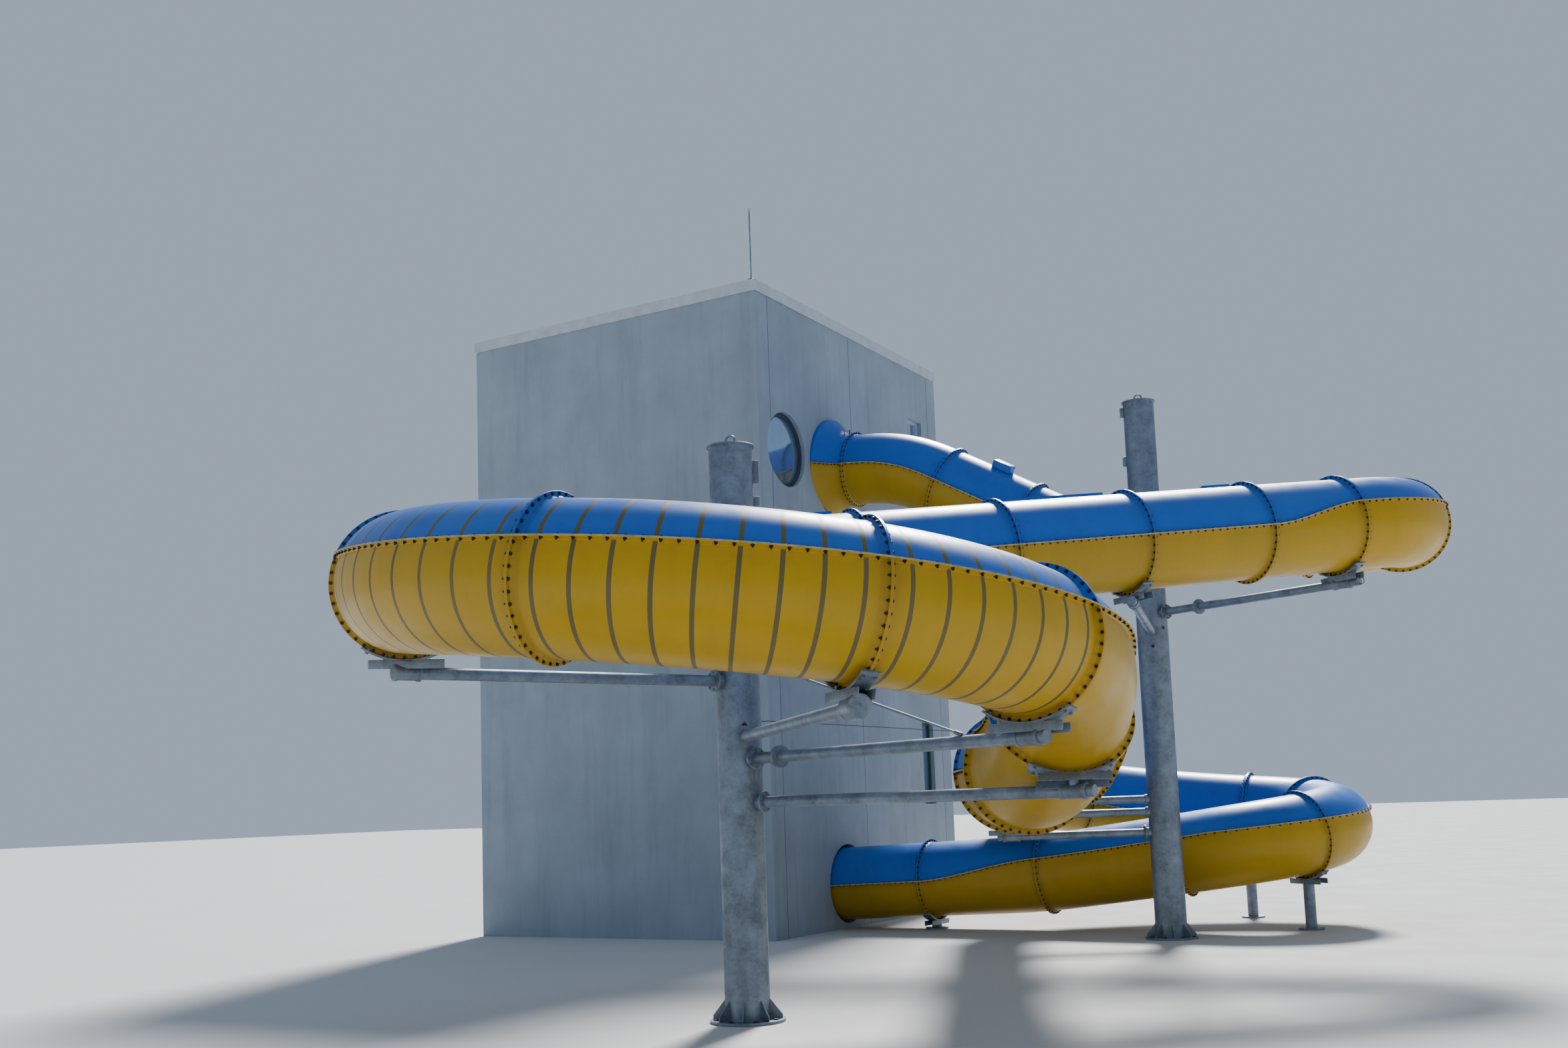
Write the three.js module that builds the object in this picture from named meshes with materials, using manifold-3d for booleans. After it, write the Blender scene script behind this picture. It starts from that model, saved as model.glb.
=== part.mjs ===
// A water slide tower: a closed tube slide of two-coloured half shells that leaves a concrete tower,
// winds down around two pipe columns and runs back into the tower's foot.
// Millimetres, +Z up. X is the outward normal of the tower face that the slide leaves, Y runs back
// along that face. Heights in the tables are above the gravel, which lies PIT_DEPTH above the base.
import * as THREE from 'three';
import { mergeVertices } from 'three/addons/utils/BufferGeometryUtils.js';
import Module from 'manifold-3d';

const wasm = await Module();
wasm.setup();

// Clearance kept between neighbouring pieces
const GAP = 0.3;
// Joined pieces lose edges that stray less than this from a flat face
const FLATNESS = 0.05;
const PIT_DEPTH = 750;

// Slide tube: round shell, two seam flanges, ring flanges
const TUBE_RADIUS = 610;
const TUBE_WALL = 10;
const FLANGE_RADIUS = 670;
const SEAM_THICKNESS = 8;
const RING_THICKNESS = 24;
const RING_INNER_RADIUS = 604;
const SIDES_PER_HALF = 6;
// Share of a step by which the seam slab runs past the ends of a run
const SLAB_OVERRUN = 0.01;

// Route of the tube's axis, from the tower face down: straights by length, bends by radius and turn
// (degrees, positive to the left). The slope changes evenly to endSlope along each section.
const ROUTE_START = { x: -12600, y: 24000, z: 7240, heading: 1.5, slope: 0.08 };
const ROUTE_SECTIONS = [
  { name: 'start', length: 800, endSlope: 0.08 },
  { name: 'crest', length: 1200, endSlope: 0.56 },
  { name: 'drop', length: 1800, endSlope: 0.56 },
  { name: 'foot', length: 900, endSlope: 0.095 },
  { name: 'upper far', length: 3150, endSlope: 0.095 },
  { name: 'upper turn', radius: 1600, turn: -131, endSlope: 0.094 },
  { name: 'upper near', length: 9850, endSlope: 0.1 },
  { name: 'front left', radius: 2950, turn: 150, endSlope: 0.115 },
  { name: 'front right', radius: 3000, turn: 74, endSlope: 0.14 },
  { name: 'dive', radius: 2400, turn: 30, endSlope: 0.64 },
  { name: 'catch', length: 1200, endSlope: 0.015 },
  { name: 'steer', radius: 6000, turn: -12, endSlope: 0.015 },
  { name: 'under', length: 8600, endSlope: 0.015 },
  { name: 'back turn', radius: 1800, turn: -75, endSlope: 0.16 },
  { name: 'lower far', radius: 4400, turn: -38, endSlope: 0.08 },
  { name: 'lower turn', radius: 1350, turn: -179.5, endSlope: 0.14 },
  { name: 'lower near', length: 2400, endSlope: 0.12 },
  { name: 'outlet', length: 1000, endSlope: 0.04 },
  { name: 'outlet end', length: 3250, endSlope: 0.04 },
];
const sectionTurn = (section) => THREE.MathUtils.degToRad(section.turn ?? 0);
const sectionLength = (section) => section.length ?? section.radius * Math.abs(sectionTurn(section));
const ROUTE_LENGTH = ROUTE_SECTIONS.reduce((sum, section) => sum + sectionLength(section), 0);

// Runs between bolted joints, with the bank of each run in degrees, left side up: distances of the
// stations, with the steps up to the next one. Every station but the last carries a ring flange.
// The dive twists most, and there longer steps would let its two walls pass through each other.
const COLLAR_LENGTH = 450;
const RUNS = [
  { name: 'start_drop', bank: 0, stations: [COLLAR_LENGTH, 2150, 3550, 5150, 7950], steps: [3, 3, 2, 1] },
  { name: 'upper_turn', bank: 20, stations: [7950, 10000, 11910], steps: [5, 5] },
  {
    name: 'upper_near_run',
    bank: 0,
    stations: [11910, 13360, 15160, 17010, 18860, 20710],
    steps: [1, 1, 1, 1, 1],
  },
  {
    name: 'front_bend',
    bank: -22,
    stations: [20710, 23010, 25570, 28280, 30590, 32400],
    steps: [3, 4, 4, 4, 3],
  },
  { name: 'dive', bank: -22, stations: [32400, 34110], steps: [8] },
  { name: 'dive_foot', bank: 35, stations: [34110, 35460], steps: [5] },
  { name: 'under_run', bank: 0, stations: [35460, 38970, 43170, 45270], steps: [4, 2, 1] },
  { name: 'back_turn', bank: 10, stations: [45270, 47570], steps: [5] },
  { name: 'lower_far_run', bank: 10, stations: [47570, 50340], steps: [3] },
  {
    name: 'lower_turn',
    bank: 22,
    stations: [50340, 51540, 53530, 55320, 57520],
    steps: [4, 5, 3, 2],
  },
  { name: 'outlet_run', bank: 0, stations: [57520, 59570, ROUTE_LENGTH], steps: [2, 1] },
];

// Flared mouth on the tower face
const COLLAR_MOUTH_RADIUS = 900;
const COLLAR_WALL = 12;
const COLLAR_FLANGE = 60;
const COLLAR_PROFILE = [[0, 1], [0.12, 0.8], [0.3, 0.5], [0.55, 0.22], [0.8, 0.06], [1, 0]];

// Tower
const TOWER_FACE_X = -12600;
const TOWER_DEPTH = 6000;
const TOWER_FRONT_Y = 21400;
const TOWER_BACK_Y = 28500;
const TOWER_TOP = 10000;
const WALL = 250;
const PANEL_JOINT_Y = 25900;
const START_HOLE_RADIUS = 860;
const HOLE_SIDES = 24;
const PORTHOLE_ROOM = 0.5;
// Room between the outlet hole and the seam flanges that pass through it
const OUTLET_ROOM = 1.6;
const PORTHOLE = { y: 22300, z: 7320, radius: 640, frame: 60, frameDepth: 110 };
const SMALL_WINDOW = { y0: 27130, y1: 27790, z0: 8400, z1: 8850 };
const NARROW_WINDOW = { y0: 27200, y1: 27700, z0: 1300, z1: 2860 };
const WINDOW_FRAME = 50;
const WINDOW_FRAME_DEPTH = 90;
const PANE = 12;
const FLOOR_THICKNESS = 120;
const START_FLOOR = { top: 6540, thickness: 180 };
const ROOF = { top: 9700, thickness: 220 };
const FLASHING = { overhang: 25, inward: 60, top: 45, apron: 150, apronThickness: 20 };
const ROD = { radius: 12, height: 1300, footRadius: 60, footHeight: 60, inset: 120 };

// Columns and arms
const COLUMN_RADIUS = 228.5;
const COLUMN_WALL = 12.5;
const COLUMN_SIDES = 16;
const CAP = { radius: 250, thickness: 20 };
const BASE_PLATE = { radius: 380, thickness: 30 };
const EYE = { radius: 55, wire: 14, wireSides: 5, sides: 8 };
const COLUMN_1 = { x: -8340, y: 13560, top: 5140 };
const COLUMN_2 = { x: -6710, y: 22800, top: 7290 };
const ARM_RADIUS = 57;
const ARM_SIDES = 10;
const SLEEVE_RADIUS = 68;
const SLEEVE_LENGTH = 260;
const COLLAR_PLATE = { radius: 110, thickness: 20, offset: 60 };
const DRUM = { radius: 95, length: 300 };
const STEM_RADIUS = 46;
const SADDLE = { halfAngle: 35, thickness: 20, halfWidth: 75, sides: 6, overlap: 2 };
const POST_RADIUS = 84;
const POST_PLATE = 190;
const ARMS = [
  { name: 'column_1_arm_left', column: COLUMN_1, ring: 25570, z: 2670, beyond: 90 },
  { name: 'column_1_arm_middle', column: COLUMN_1, ring: 30590, z: 2090, beyond: 260, drum: true },
  { name: 'column_1_arm_right', column: COLUMN_1, ring: 32400, z: 1870, beyond: 200, joint: 700 },
  { name: 'column_1_arm_dive', column: COLUMN_1, ring: 34110, z: 1430, beyond: 200 },
  { name: 'column_2_arm_turn', column: COLUMN_2, ring: 11910, z: 4030, beyond: 260, joint: 900 },
  { name: 'column_2_arm_near', column: COLUMN_2, ring: 15160, z: 3740, beyond: 260 },
  { name: 'column_2_arm_far', column: COLUMN_2, ring: 5150, z: 4680, beyond: 150 },
  { name: 'column_2_arm_under_low', column: COLUMN_2, ring: 43170, z: 800, beyond: 200 },
];
// Struts that end on the side of a ring flange
const SIDE_STRUTS = [
  { name: 'column_2_strut_under_middle', column: COLUMN_2, ring: 43170, z: 1100 },
  { name: 'column_2_strut_under_high', column: COLUMN_2, ring: 43170, z: 1285 },
  { name: 'column_2_strut_outlet', column: COLUMN_2, ring: 55320, z: 560 },
];
const POSTS = [
  { name: 'lower_far_post', ring: 50340 },
  { name: 'lower_turn_post', ring: 53530 },
  { name: 'outlet_saddle', ring: 59570 },
];
const TIE = { radius: 11, sides: 8, buckleRadius: 24, buckleLength: 320, eyeRadius: 30 };
const TIE_1 = { columnZ: 2950, armIndex: 2, armShare: 0.86 };
const TIE_2 = { columnZ: 6750, ring: 5150 };

const BLUE = 0x2c5fb4;
const YELLOW = 0xb3922c;
const CONCRETE = 0x9aa7b5;
const STEEL = 0x8d959b;
const ALUMINIUM = 0xb9bfc6;
const DARK_FRAME = 0x3a444c;
const WINDOW_GREEN = 0x2d4a40;
const GLASS = 0x7fa6d6;

const radians = THREE.MathUtils.degToRad;
const UP = new THREE.Vector3(0, 0, 1);

// Route: each section keeps where it starts, so that any distance can be looked up
function laidRoute() {
  const rows = [];
  let distance = 0;
  let place = { ...ROUTE_START, heading: radians(ROUTE_START.heading) };
  for (const section of ROUTE_SECTIONS) {
    const turn = sectionTurn(section);
    const length = sectionLength(section);
    const row = { distance, length, turn, start: place, endSlope: section.endSlope };
    rows.push(row);
    distance += length;
    place = alongSection(row, length);
  }
  return rows;
}

function alongSection(row, travelled) {
  const { start, turn, length, endSlope } = row;
  const heading = start.heading + (turn * travelled) / length;
  const gain = endSlope - start.slope;
  const z = start.z - start.slope * travelled - (gain * travelled * travelled) / (2 * length);
  const slope = start.slope + (gain * travelled) / length;
  if (turn === 0) {
    const x = start.x + travelled * Math.cos(start.heading);
    const y = start.y + travelled * Math.sin(start.heading);
    return { x, y, z, heading, slope };
  }
  const signedRadius = length / turn;
  const x = start.x + signedRadius * (Math.sin(heading) - Math.sin(start.heading));
  const y = start.y - signedRadius * (Math.cos(heading) - Math.cos(start.heading));
  return { x, y, z, heading, slope };
}

const ROUTE = laidRoute();

// Frame of the tube at a distance: origin, tangent, left and up, turned about the tangent by a bank
function frameAt(distance, bankDegrees = 0) {
  let row = ROUTE[0];
  for (const candidate of ROUTE) {
    if (candidate.distance <= distance) {
      row = candidate;
    }
  }
  const place = alongSection(row, distance - row.distance);
  const tangent = new THREE.Vector3(Math.cos(place.heading), Math.sin(place.heading), -place.slope);
  tangent.normalize();
  const left = new THREE.Vector3(-Math.sin(place.heading), Math.cos(place.heading), 0);
  const up = tangent.clone().cross(left);
  const bank = radians(bankDegrees);
  left.applyAxisAngle(tangent, bank);
  up.applyAxisAngle(tangent, bank);
  const origin = new THREE.Vector3(place.x, place.y, place.z + PIT_DEPTH);
  return { origin, tangent, left, up };
}

// A frame part of the way to another one, on the straight facets between them
function blended(from, to, share) {
  return {
    origin: from.origin.clone().lerp(to.origin, share),
    tangent: from.tangent.clone().lerp(to.tangent, share),
    left: from.left.clone().lerp(to.left, share),
    up: from.up.clone().lerp(to.up, share),
  };
}

// A curve that an extrusion follows with frames of its own
class FramedPath extends THREE.Curve {
  constructor(frames) {
    super();
    this.frames = frames;
  }

  getPoint(t, target = new THREE.Vector3()) {
    const scaled = t * (this.frames.length - 1);
    const index = Math.min(Math.floor(scaled), this.frames.length - 2);
    return target.lerpVectors(this.frames[index].origin, this.frames[index + 1].origin, scaled - index);
  }

  getSpacedPoints() {
    return this.frames.map((frame) => frame.origin.clone());
  }

  computeFrenetFrames() {
    return {
      tangents: this.frames.map((frame) => frame.tangent.clone()),
      normals: this.frames.map((frame) => frame.left.clone()),
      binormals: this.frames.map((frame) => frame.up.clone()),
    };
  }
}

function extrudedAlong(shape, frames) {
  const extrudePath = new FramedPath(frames);
  return new THREE.ExtrudeGeometry(shape, { steps: frames.length - 1, extrudePath, bevelEnabled: false });
}

// The same frame moved along its own tangent
function slid(frame, along) {
  return { ...frame, origin: frame.origin.clone().addScaledVector(frame.tangent, along) };
}

function straightAlong(shape, frame, from, to) {
  return extrudedAlong(shape, [slid(frame, from), slid(frame, to)]);
}

// Solids: closed meshes that can be joined and cut
function solidOf(geometry) {
  const bare = new THREE.BufferGeometry();
  bare.setAttribute('position', geometry.getAttribute('position'));
  bare.setIndex(geometry.getIndex());
  const merged = mergeVertices(bare);
  const index = merged.getIndex().array;
  const triangles = [];
  for (let i = 0; i < index.length; i += 3) {
    const [a, b, c] = [index[i], index[i + 1], index[i + 2]];
    if (a !== b && b !== c && c !== a) {
      triangles.push(a, b, c);
    }
  }
  return new wasm.Manifold(new wasm.Mesh({
    numProp: 3,
    vertProperties: new Float32Array(merged.getAttribute('position').array),
    triVerts: new Uint32Array(triangles),
  }));
}

function geometryOf(solid) {
  const mesh = solid.getMesh();
  const geometry = new THREE.BufferGeometry();
  geometry.setAttribute('position', new THREE.BufferAttribute(new Float32Array(mesh.vertProperties), 3));
  geometry.setIndex(new THREE.BufferAttribute(new Uint32Array(mesh.triVerts), 1));
  geometry.computeVertexNormals();
  return geometry;
}

function joined(solids) {
  return solids.reduce((whole, solid) => whole.add(solid));
}

const assembly = new THREE.Group();

function addPiece(name, solid, colour, roughness, metalness) {
  const material = new THREE.MeshStandardMaterial({ color: colour, roughness, metalness });
  const mesh = new THREE.Mesh(geometryOf(solid.asOriginal().simplify(FLATNESS)), material);
  mesh.name = name;
  assembly.add(mesh);
}

const addShell = (name, solid, side) => addPiece(name, solid, side > 0 ? BLUE : YELLOW, 0.3, 0);
const addConcrete = (name, solid) => addPiece(name, solid, CONCRETE, 0.85, 0);
const addSteel = (name, solid) => addPiece(name, solid, STEEL, 0.5, 0.9);

// Sections of the tube, drawn with x to the left and y up; side is 1 above the seam, -1 below
function shapeFrom(points) {
  return new THREE.Shape(points.map(([x, y]) => new THREE.Vector2(x, y)));
}

function halfArc(radius, side, from, to) {
  const points = [];
  const stride = from < to ? 1 : -1;
  for (let i = from; i !== to + stride; i += stride) {
    const angle = (Math.PI * i) / SIDES_PER_HALF;
    points.push([radius * Math.cos(angle), side * radius * Math.sin(angle)]);
  }
  return points;
}

function orientedShape(points, side) {
  return shapeFrom(side > 0 ? points : points.reverse());
}

function shellSection(side, seam) {
  const seamBack = side * (GAP / 2 + SEAM_THICKNESS);
  const inner = TUBE_RADIUS - TUBE_WALL;
  const last = SIDES_PER_HALF - 1;
  const points = [
    [inner, seam],
    [FLANGE_RADIUS, seam],
    [FLANGE_RADIUS, seamBack],
    [TUBE_RADIUS, seamBack],
    ...halfArc(TUBE_RADIUS, side, 1, last),
    [-TUBE_RADIUS, seamBack],
    [-FLANGE_RADIUS, seamBack],
    [-FLANGE_RADIUS, seam],
    [-inner, seam],
    ...halfArc(inner, side, last, 1),
  ];
  return orientedShape(points, side);
}

function ringSection(side, seam) {
  const last = SIDES_PER_HALF - 1;
  const points = [
    [RING_INNER_RADIUS, seam],
    [FLANGE_RADIUS, seam],
    ...halfArc(FLANGE_RADIUS, side, 1, last),
    [-FLANGE_RADIUS, seam],
    [-RING_INNER_RADIUS, seam],
    ...halfArc(RING_INNER_RADIUS, side, last, 1),
  ];
  return orientedShape(points, side);
}

// Section of the slab that trims the lower half to the seam, flat below the two seam flanges
function seamSlabSection() {
  const floor = -GAP / 2;
  const inner = TUBE_RADIUS - TUBE_WALL;
  const clear = 4 * SEAM_THICKNESS;
  return shapeFrom([
    [-FLANGE_RADIUS - clear, clear],
    [-FLANGE_RADIUS, floor],
    [-inner, floor],
    [clear - inner, clear],
    [inner - clear, clear],
    [inner, floor],
    [FLANGE_RADIUS, floor],
    [FLANGE_RADIUS + clear, clear],
    [FLANGE_RADIUS + clear, 2 * clear],
    [-FLANGE_RADIUS - clear, 2 * clear],
  ]);
}

function flangeOutline(grow) {
  const radius = FLANGE_RADIUS + grow;
  const last = SIDES_PER_HALF - 1;
  return shapeFrom([
    [radius, 0],
    ...halfArc(radius, 1, 1, last),
    [-radius, 0],
    ...halfArc(radius, -1, last, 1),
  ]);
}

// Distances of the frames of a run, held off its ends by half a gap
function runDistances(run) {
  const distances = [];
  run.steps.forEach((count, index) => {
    const from = run.stations[index];
    const to = run.stations[index + 1];
    for (let step = 0; step < count; step += 1) {
      distances.push(from + ((to - from) * step) / count);
    }
  });
  distances[0] += GAP / 2;
  distances.push(run.stations[run.stations.length - 1] - GAP / 2);
  return distances;
}

function framesOf(run) {
  return runDistances(run).map((distance) => frameAt(distance, run.bank));
}

function runWith(station) {
  return RUNS.find((run) => run.stations.slice(0, -1).includes(station));
}

// Frames at small offsets from a station, on the facets of its run
function framesAround(station, offsets) {
  const run = runWith(station);
  const frames = framesOf(run);
  const index = runDistances(run).findIndex((distance) => Math.abs(distance - station) < GAP);
  const here = frames[index];
  const next = frames[index + 1];
  const last = frames[Math.max(index - 1, 0)];
  return offsets.map((offset) => {
    if (offset < 0 && index > 0) {
      return blended(here, last, -offset / here.origin.distanceTo(last.origin));
    }
    return blended(here, next, offset / here.origin.distanceTo(next.origin));
  });
}

function ringOffsets(station) {
  if (station === runWith(station).stations[0]) {
    return [0, RING_THICKNESS];
  }
  return [-RING_THICKNESS / 2, 0, RING_THICKNESS / 2];
}

function ringCentre(station) {
  return station === runWith(station).stations[0] ? station + RING_THICKNESS / 2 : station;
}

// The lower half is made a little too tall, then trimmed by the slab that the upper half rests on
function halfRun(run, side) {
  const frames = framesOf(run);
  const seam = side > 0 ? GAP / 2 : SEAM_THICKNESS / 2;
  const pieces = [solidOf(extrudedAlong(shellSection(side, seam), frames))];
  for (const station of run.stations.slice(0, -1)) {
    const ringFrames = framesAround(station, ringOffsets(station));
    pieces.push(solidOf(extrudedAlong(ringSection(side, seam), ringFrames)));
  }
  const whole = joined(pieces);
  if (side > 0) {
    return whole;
  }
  const last = frames.length - 1;
  const before = blended(frames[0], frames[1], -SLAB_OVERRUN);
  const after = blended(frames[last], frames[last - 1], -SLAB_OVERRUN);
  const slabFrames = [before, ...frames.slice(1, -1), after];
  return whole.subtract(solidOf(extrudedAlong(seamSlabSection(), slabFrames)));
}

for (const run of RUNS) {
  addShell(`${run.name}_upper`, halfRun(run, 1), 1);
  addShell(`${run.name}_lower`, halfRun(run, -1), -1);
}

// Placing helpers for round and square stock
function placed(geometry, matrix) {
  return solidOf(geometry.clone().applyMatrix4(matrix));
}

function barBetween(from, to, radius, sides) {
  const axis = to.clone().sub(from);
  const along = axis.clone().normalize();
  const turn = new THREE.Quaternion().setFromUnitVectors(new THREE.Vector3(0, 1, 0), along);
  const middle = from.clone().lerp(to, 0.5);
  const matrix = new THREE.Matrix4().compose(middle, turn, new THREE.Vector3(1, 1, 1));
  return placed(new THREE.CylinderGeometry(radius, radius, axis.length(), sides), matrix);
}

function blockBetween(low, high) {
  const size = high.clone().sub(low);
  const middle = low.clone().lerp(high, 0.5);
  const matrix = new THREE.Matrix4().makeTranslation(middle.x, middle.y, middle.z);
  return placed(new THREE.BoxGeometry(size.x, size.y, size.z), matrix);
}

function blockAt(x0, y0, z0, x1, y1, z1) {
  return blockBetween(new THREE.Vector3(x0, y0, z0), new THREE.Vector3(x1, y1, z1));
}

// A lathed solid whose axis runs along the given frame's tangent
function turnedAlong(profile, frame, sides) {
  const points = profile.map(([radius, along]) => new THREE.Vector2(radius, along));
  const basis = new THREE.Matrix4().makeBasis(frame.up, frame.tangent, frame.left);
  basis.setPosition(frame.origin);
  return placed(new THREE.LatheGeometry(points, sides), basis);
}

const VERTICAL = {
  origin: new THREE.Vector3(),
  tangent: UP.clone(),
  left: new THREE.Vector3(0, -1, 0),
  up: new THREE.Vector3(1, 0, 0),
};

// Flared mouth: lathed flare with a seam flange, cut into two halves and trimmed to the tower face
function collarRadius(share) {
  return TUBE_RADIUS + (COLLAR_MOUTH_RADIUS - TUBE_RADIUS) * share;
}

function startCollar(side) {
  const frame = frameAt(0);
  const end = COLLAR_LENGTH - GAP / 2;
  const reach = end + WALL;
  const outer = COLLAR_PROFILE.map(([along, share]) => [collarRadius(share), along * end]);
  const inner = outer.map(([radius, along]) => [radius - COLLAR_WALL, along]).reverse();
  const behind = -WALL;
  const profile = [[outer[0][0], behind], ...outer, ...inner, [inner[inner.length - 1][0], behind]];
  const flare = turnedAlong([...profile, profile[0]], frame, SIDES_PER_HALF * 2);
  const plateOutline = [
    ...outer.map(([radius, along]) => [radius + COLLAR_FLANGE, along]),
    ...outer.map(([radius, along]) => [radius - COLLAR_WALL / 2, along]).reverse(),
  ];
  const plates = [-1, 1].map((hand) => {
    const shape = shapeFrom(plateOutline.map(([radius, along]) => [hand * radius, along]));
    const plate = new THREE.ExtrudeGeometry(shape, { depth: 2 * SEAM_THICKNESS, bevelEnabled: false });
    plate.translate(0, 0, -SEAM_THICKNESS);
    const basis = new THREE.Matrix4().makeBasis(frame.left, frame.tangent, frame.up.clone().negate());
    basis.setPosition(frame.origin);
    return placed(plate, basis);
  });
  const seam = GAP / 2;
  const span = 2 * COLLAR_MOUTH_RADIUS;
  const corners = [[span, seam], [span, span], [-span, span], [-span, seam]];
  const halfShape = orientedShape(corners.map(([x, y]) => [x, side * y]), side);
  const keep = solidOf(straightAlong(halfShape, frame, -reach, reach));
  const faceX = TOWER_FACE_X + GAP;
  const y = frame.origin.y;
  const away = blockAt(faceX - span, y - span, 0, faceX, y + span, TOWER_TOP + span);
  return joined([flare, ...plates]).intersect(keep).subtract(away);
}

addShell('start_collar_upper', startCollar(1), 1);
addShell('start_collar_lower', startCollar(-1), -1);

// Tower walls. The face wall is drawn in the plane of Y and Z and extruded along X.
function rectangle(y0, z0, y1, z1) {
  return [[y0, z0], [y1, z0], [y1, z1], [y0, z1]];
}

function circle(y, z, radius) {
  const points = [];
  for (let i = 0; i < HOLE_SIDES; i += 1) {
    const angle = (2 * Math.PI * i) / HOLE_SIDES;
    points.push([y + radius * Math.cos(angle), z + radius * Math.sin(angle)]);
  }
  return points;
}

function faceSlab(outline, holes, fromX, toX) {
  const shape = shapeFrom(outline);
  for (const hole of holes) {
    shape.holes.push(shapeFrom(hole));
  }
  const geometry = new THREE.ExtrudeGeometry(shape, { depth: toX - fromX, bevelEnabled: false });
  const basis = new THREE.Matrix4().makeBasis(new THREE.Vector3(0, 1, 0), UP, new THREE.Vector3(1, 0, 0));
  basis.setPosition(fromX, 0, 0);
  return placed(geometry, basis);
}

const wallTop = TOWER_TOP + PIT_DEPTH;
const innerX = TOWER_FACE_X - WALL;
const farX = TOWER_FACE_X - TOWER_DEPTH;
const portholeZ = PORTHOLE.z + PIT_DEPTH;

function windowOutline(opening, shrink = 0) {
  return rectangle(
    opening.y0 + shrink,
    opening.z0 + PIT_DEPTH + shrink,
    opening.y1 - shrink,
    opening.z1 + PIT_DEPTH - shrink,
  );
}

function outletCut() {
  const frame = frameAt(ROUTE_LENGTH);
  const points = circle(0, 0, FLANGE_RADIUS + OUTLET_ROOM);
  return solidOf(straightAlong(shapeFrom(points), frame, -2 * WALL, WALL));
}

function rightWallFront() {
  const start = frameAt(0).origin;
  const outline = rectangle(TOWER_FRONT_Y, 0, PANEL_JOINT_Y - GAP / 2, wallTop);
  const porthole = circle(PORTHOLE.y, portholeZ, PORTHOLE.radius);
  const holes = [porthole, circle(start.y, start.z, START_HOLE_RADIUS)];
  return faceSlab(outline, holes, innerX, TOWER_FACE_X).subtract(outletCut());
}

function rightWallBack() {
  const outline = rectangle(PANEL_JOINT_Y + GAP / 2, 0, TOWER_BACK_Y, wallTop);
  const holes = [windowOutline(SMALL_WINDOW), windowOutline(NARROW_WINDOW)];
  return faceSlab(outline, holes, innerX, TOWER_FACE_X);
}

const sideEndX = innerX - GAP;
addConcrete('tower_right_wall_front', rightWallFront());
addConcrete('tower_right_wall_back', rightWallBack());
addConcrete('tower_front_wall', blockAt(farX, TOWER_FRONT_Y, 0, sideEndX, TOWER_FRONT_Y + WALL, wallTop));
addConcrete('tower_back_wall', blockAt(farX, TOWER_BACK_Y - WALL, 0, sideEndX, TOWER_BACK_Y, wallTop));
const roomY0 = TOWER_FRONT_Y + WALL + GAP;
const roomY1 = TOWER_BACK_Y - WALL - GAP;
addConcrete('tower_left_wall', blockAt(farX, roomY0, 0, farX + WALL, roomY1, wallTop));

function floorSlab(top, thickness) {
  return blockAt(farX + WALL + GAP, roomY0, top - thickness, sideEndX, roomY1, top);
}

addConcrete('ground_floor', floorSlab(FLOOR_THICKNESS, FLOOR_THICKNESS));
addConcrete('start_platform_floor', floorSlab(START_FLOOR.top + PIT_DEPTH, START_FLOOR.thickness));
addConcrete('roof_slab', floorSlab(ROOF.top + PIT_DEPTH, ROOF.thickness));

// Parapet flashing: a flat cap on the wall heads with an apron down the outer face
function plateRing(grow, width, z0, z1) {
  const x0 = farX - grow;
  const x1 = TOWER_FACE_X + grow;
  const y0 = TOWER_FRONT_Y - grow;
  const y1 = TOWER_BACK_Y + grow;
  const shape = shapeFrom(rectangle(x0, y0, x1, y1));
  shape.holes.push(shapeFrom(rectangle(x0 + width, y0 + width, x1 - width, y1 - width)));
  const geometry = new THREE.ExtrudeGeometry(shape, { depth: z1 - z0, bevelEnabled: false });
  return placed(geometry, new THREE.Matrix4().makeTranslation(0, 0, z0));
}

const capWidth = WALL + FLASHING.overhang + FLASHING.inward;
const capFoot = wallTop + GAP;
const capTop = capFoot + FLASHING.top;
const flashing = joined([
  plateRing(FLASHING.overhang, capWidth, capFoot, capTop),
  plateRing(FLASHING.overhang, FLASHING.apronThickness, wallTop - FLASHING.apron, capTop),
]);
addPiece('parapet_flashing', flashing, ALUMINIUM, 0.45, 0.8);

const rodFoot = new THREE.Vector3(TOWER_FACE_X - ROD.inset, TOWER_FRONT_Y + ROD.inset, capTop + GAP);
const rodTop = rodFoot.clone().addScaledVector(UP, ROD.height);
const rodBoss = rodFoot.clone().addScaledVector(UP, ROD.footHeight);
const lightningRod = joined([
  barBetween(rodFoot, rodTop, ROD.radius, TIE.sides),
  barBetween(rodFoot, rodBoss, ROD.footRadius, ARM_SIDES),
]);
addPiece('lightning_rod', lightningRod, STEEL, 0.4, 0.9);

// Porthole and windows: a frame in the opening, a pane in the frame
function frameRing(outline, opening, depth) {
  const middle = TOWER_FACE_X - WALL / 2;
  return faceSlab(outline, [opening], middle - depth / 2, middle + depth / 2);
}

function pane(outline) {
  const middle = TOWER_FACE_X - WALL / 2;
  return faceSlab(outline, [], middle - PANE / 2, middle + PANE / 2);
}

const clearRadius = PORTHOLE.radius - PORTHOLE_ROOM;
const sightRadius = clearRadius - PORTHOLE.frame;
const portholeFrame = frameRing(
  circle(PORTHOLE.y, portholeZ, clearRadius),
  circle(PORTHOLE.y, portholeZ, sightRadius),
  PORTHOLE.frameDepth,
);
addPiece('porthole_frame', portholeFrame, DARK_FRAME, 0.5, 0.6);
addPiece('porthole_glass', pane(circle(PORTHOLE.y, portholeZ, sightRadius - GAP)), GLASS, 0.05, 0);

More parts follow.
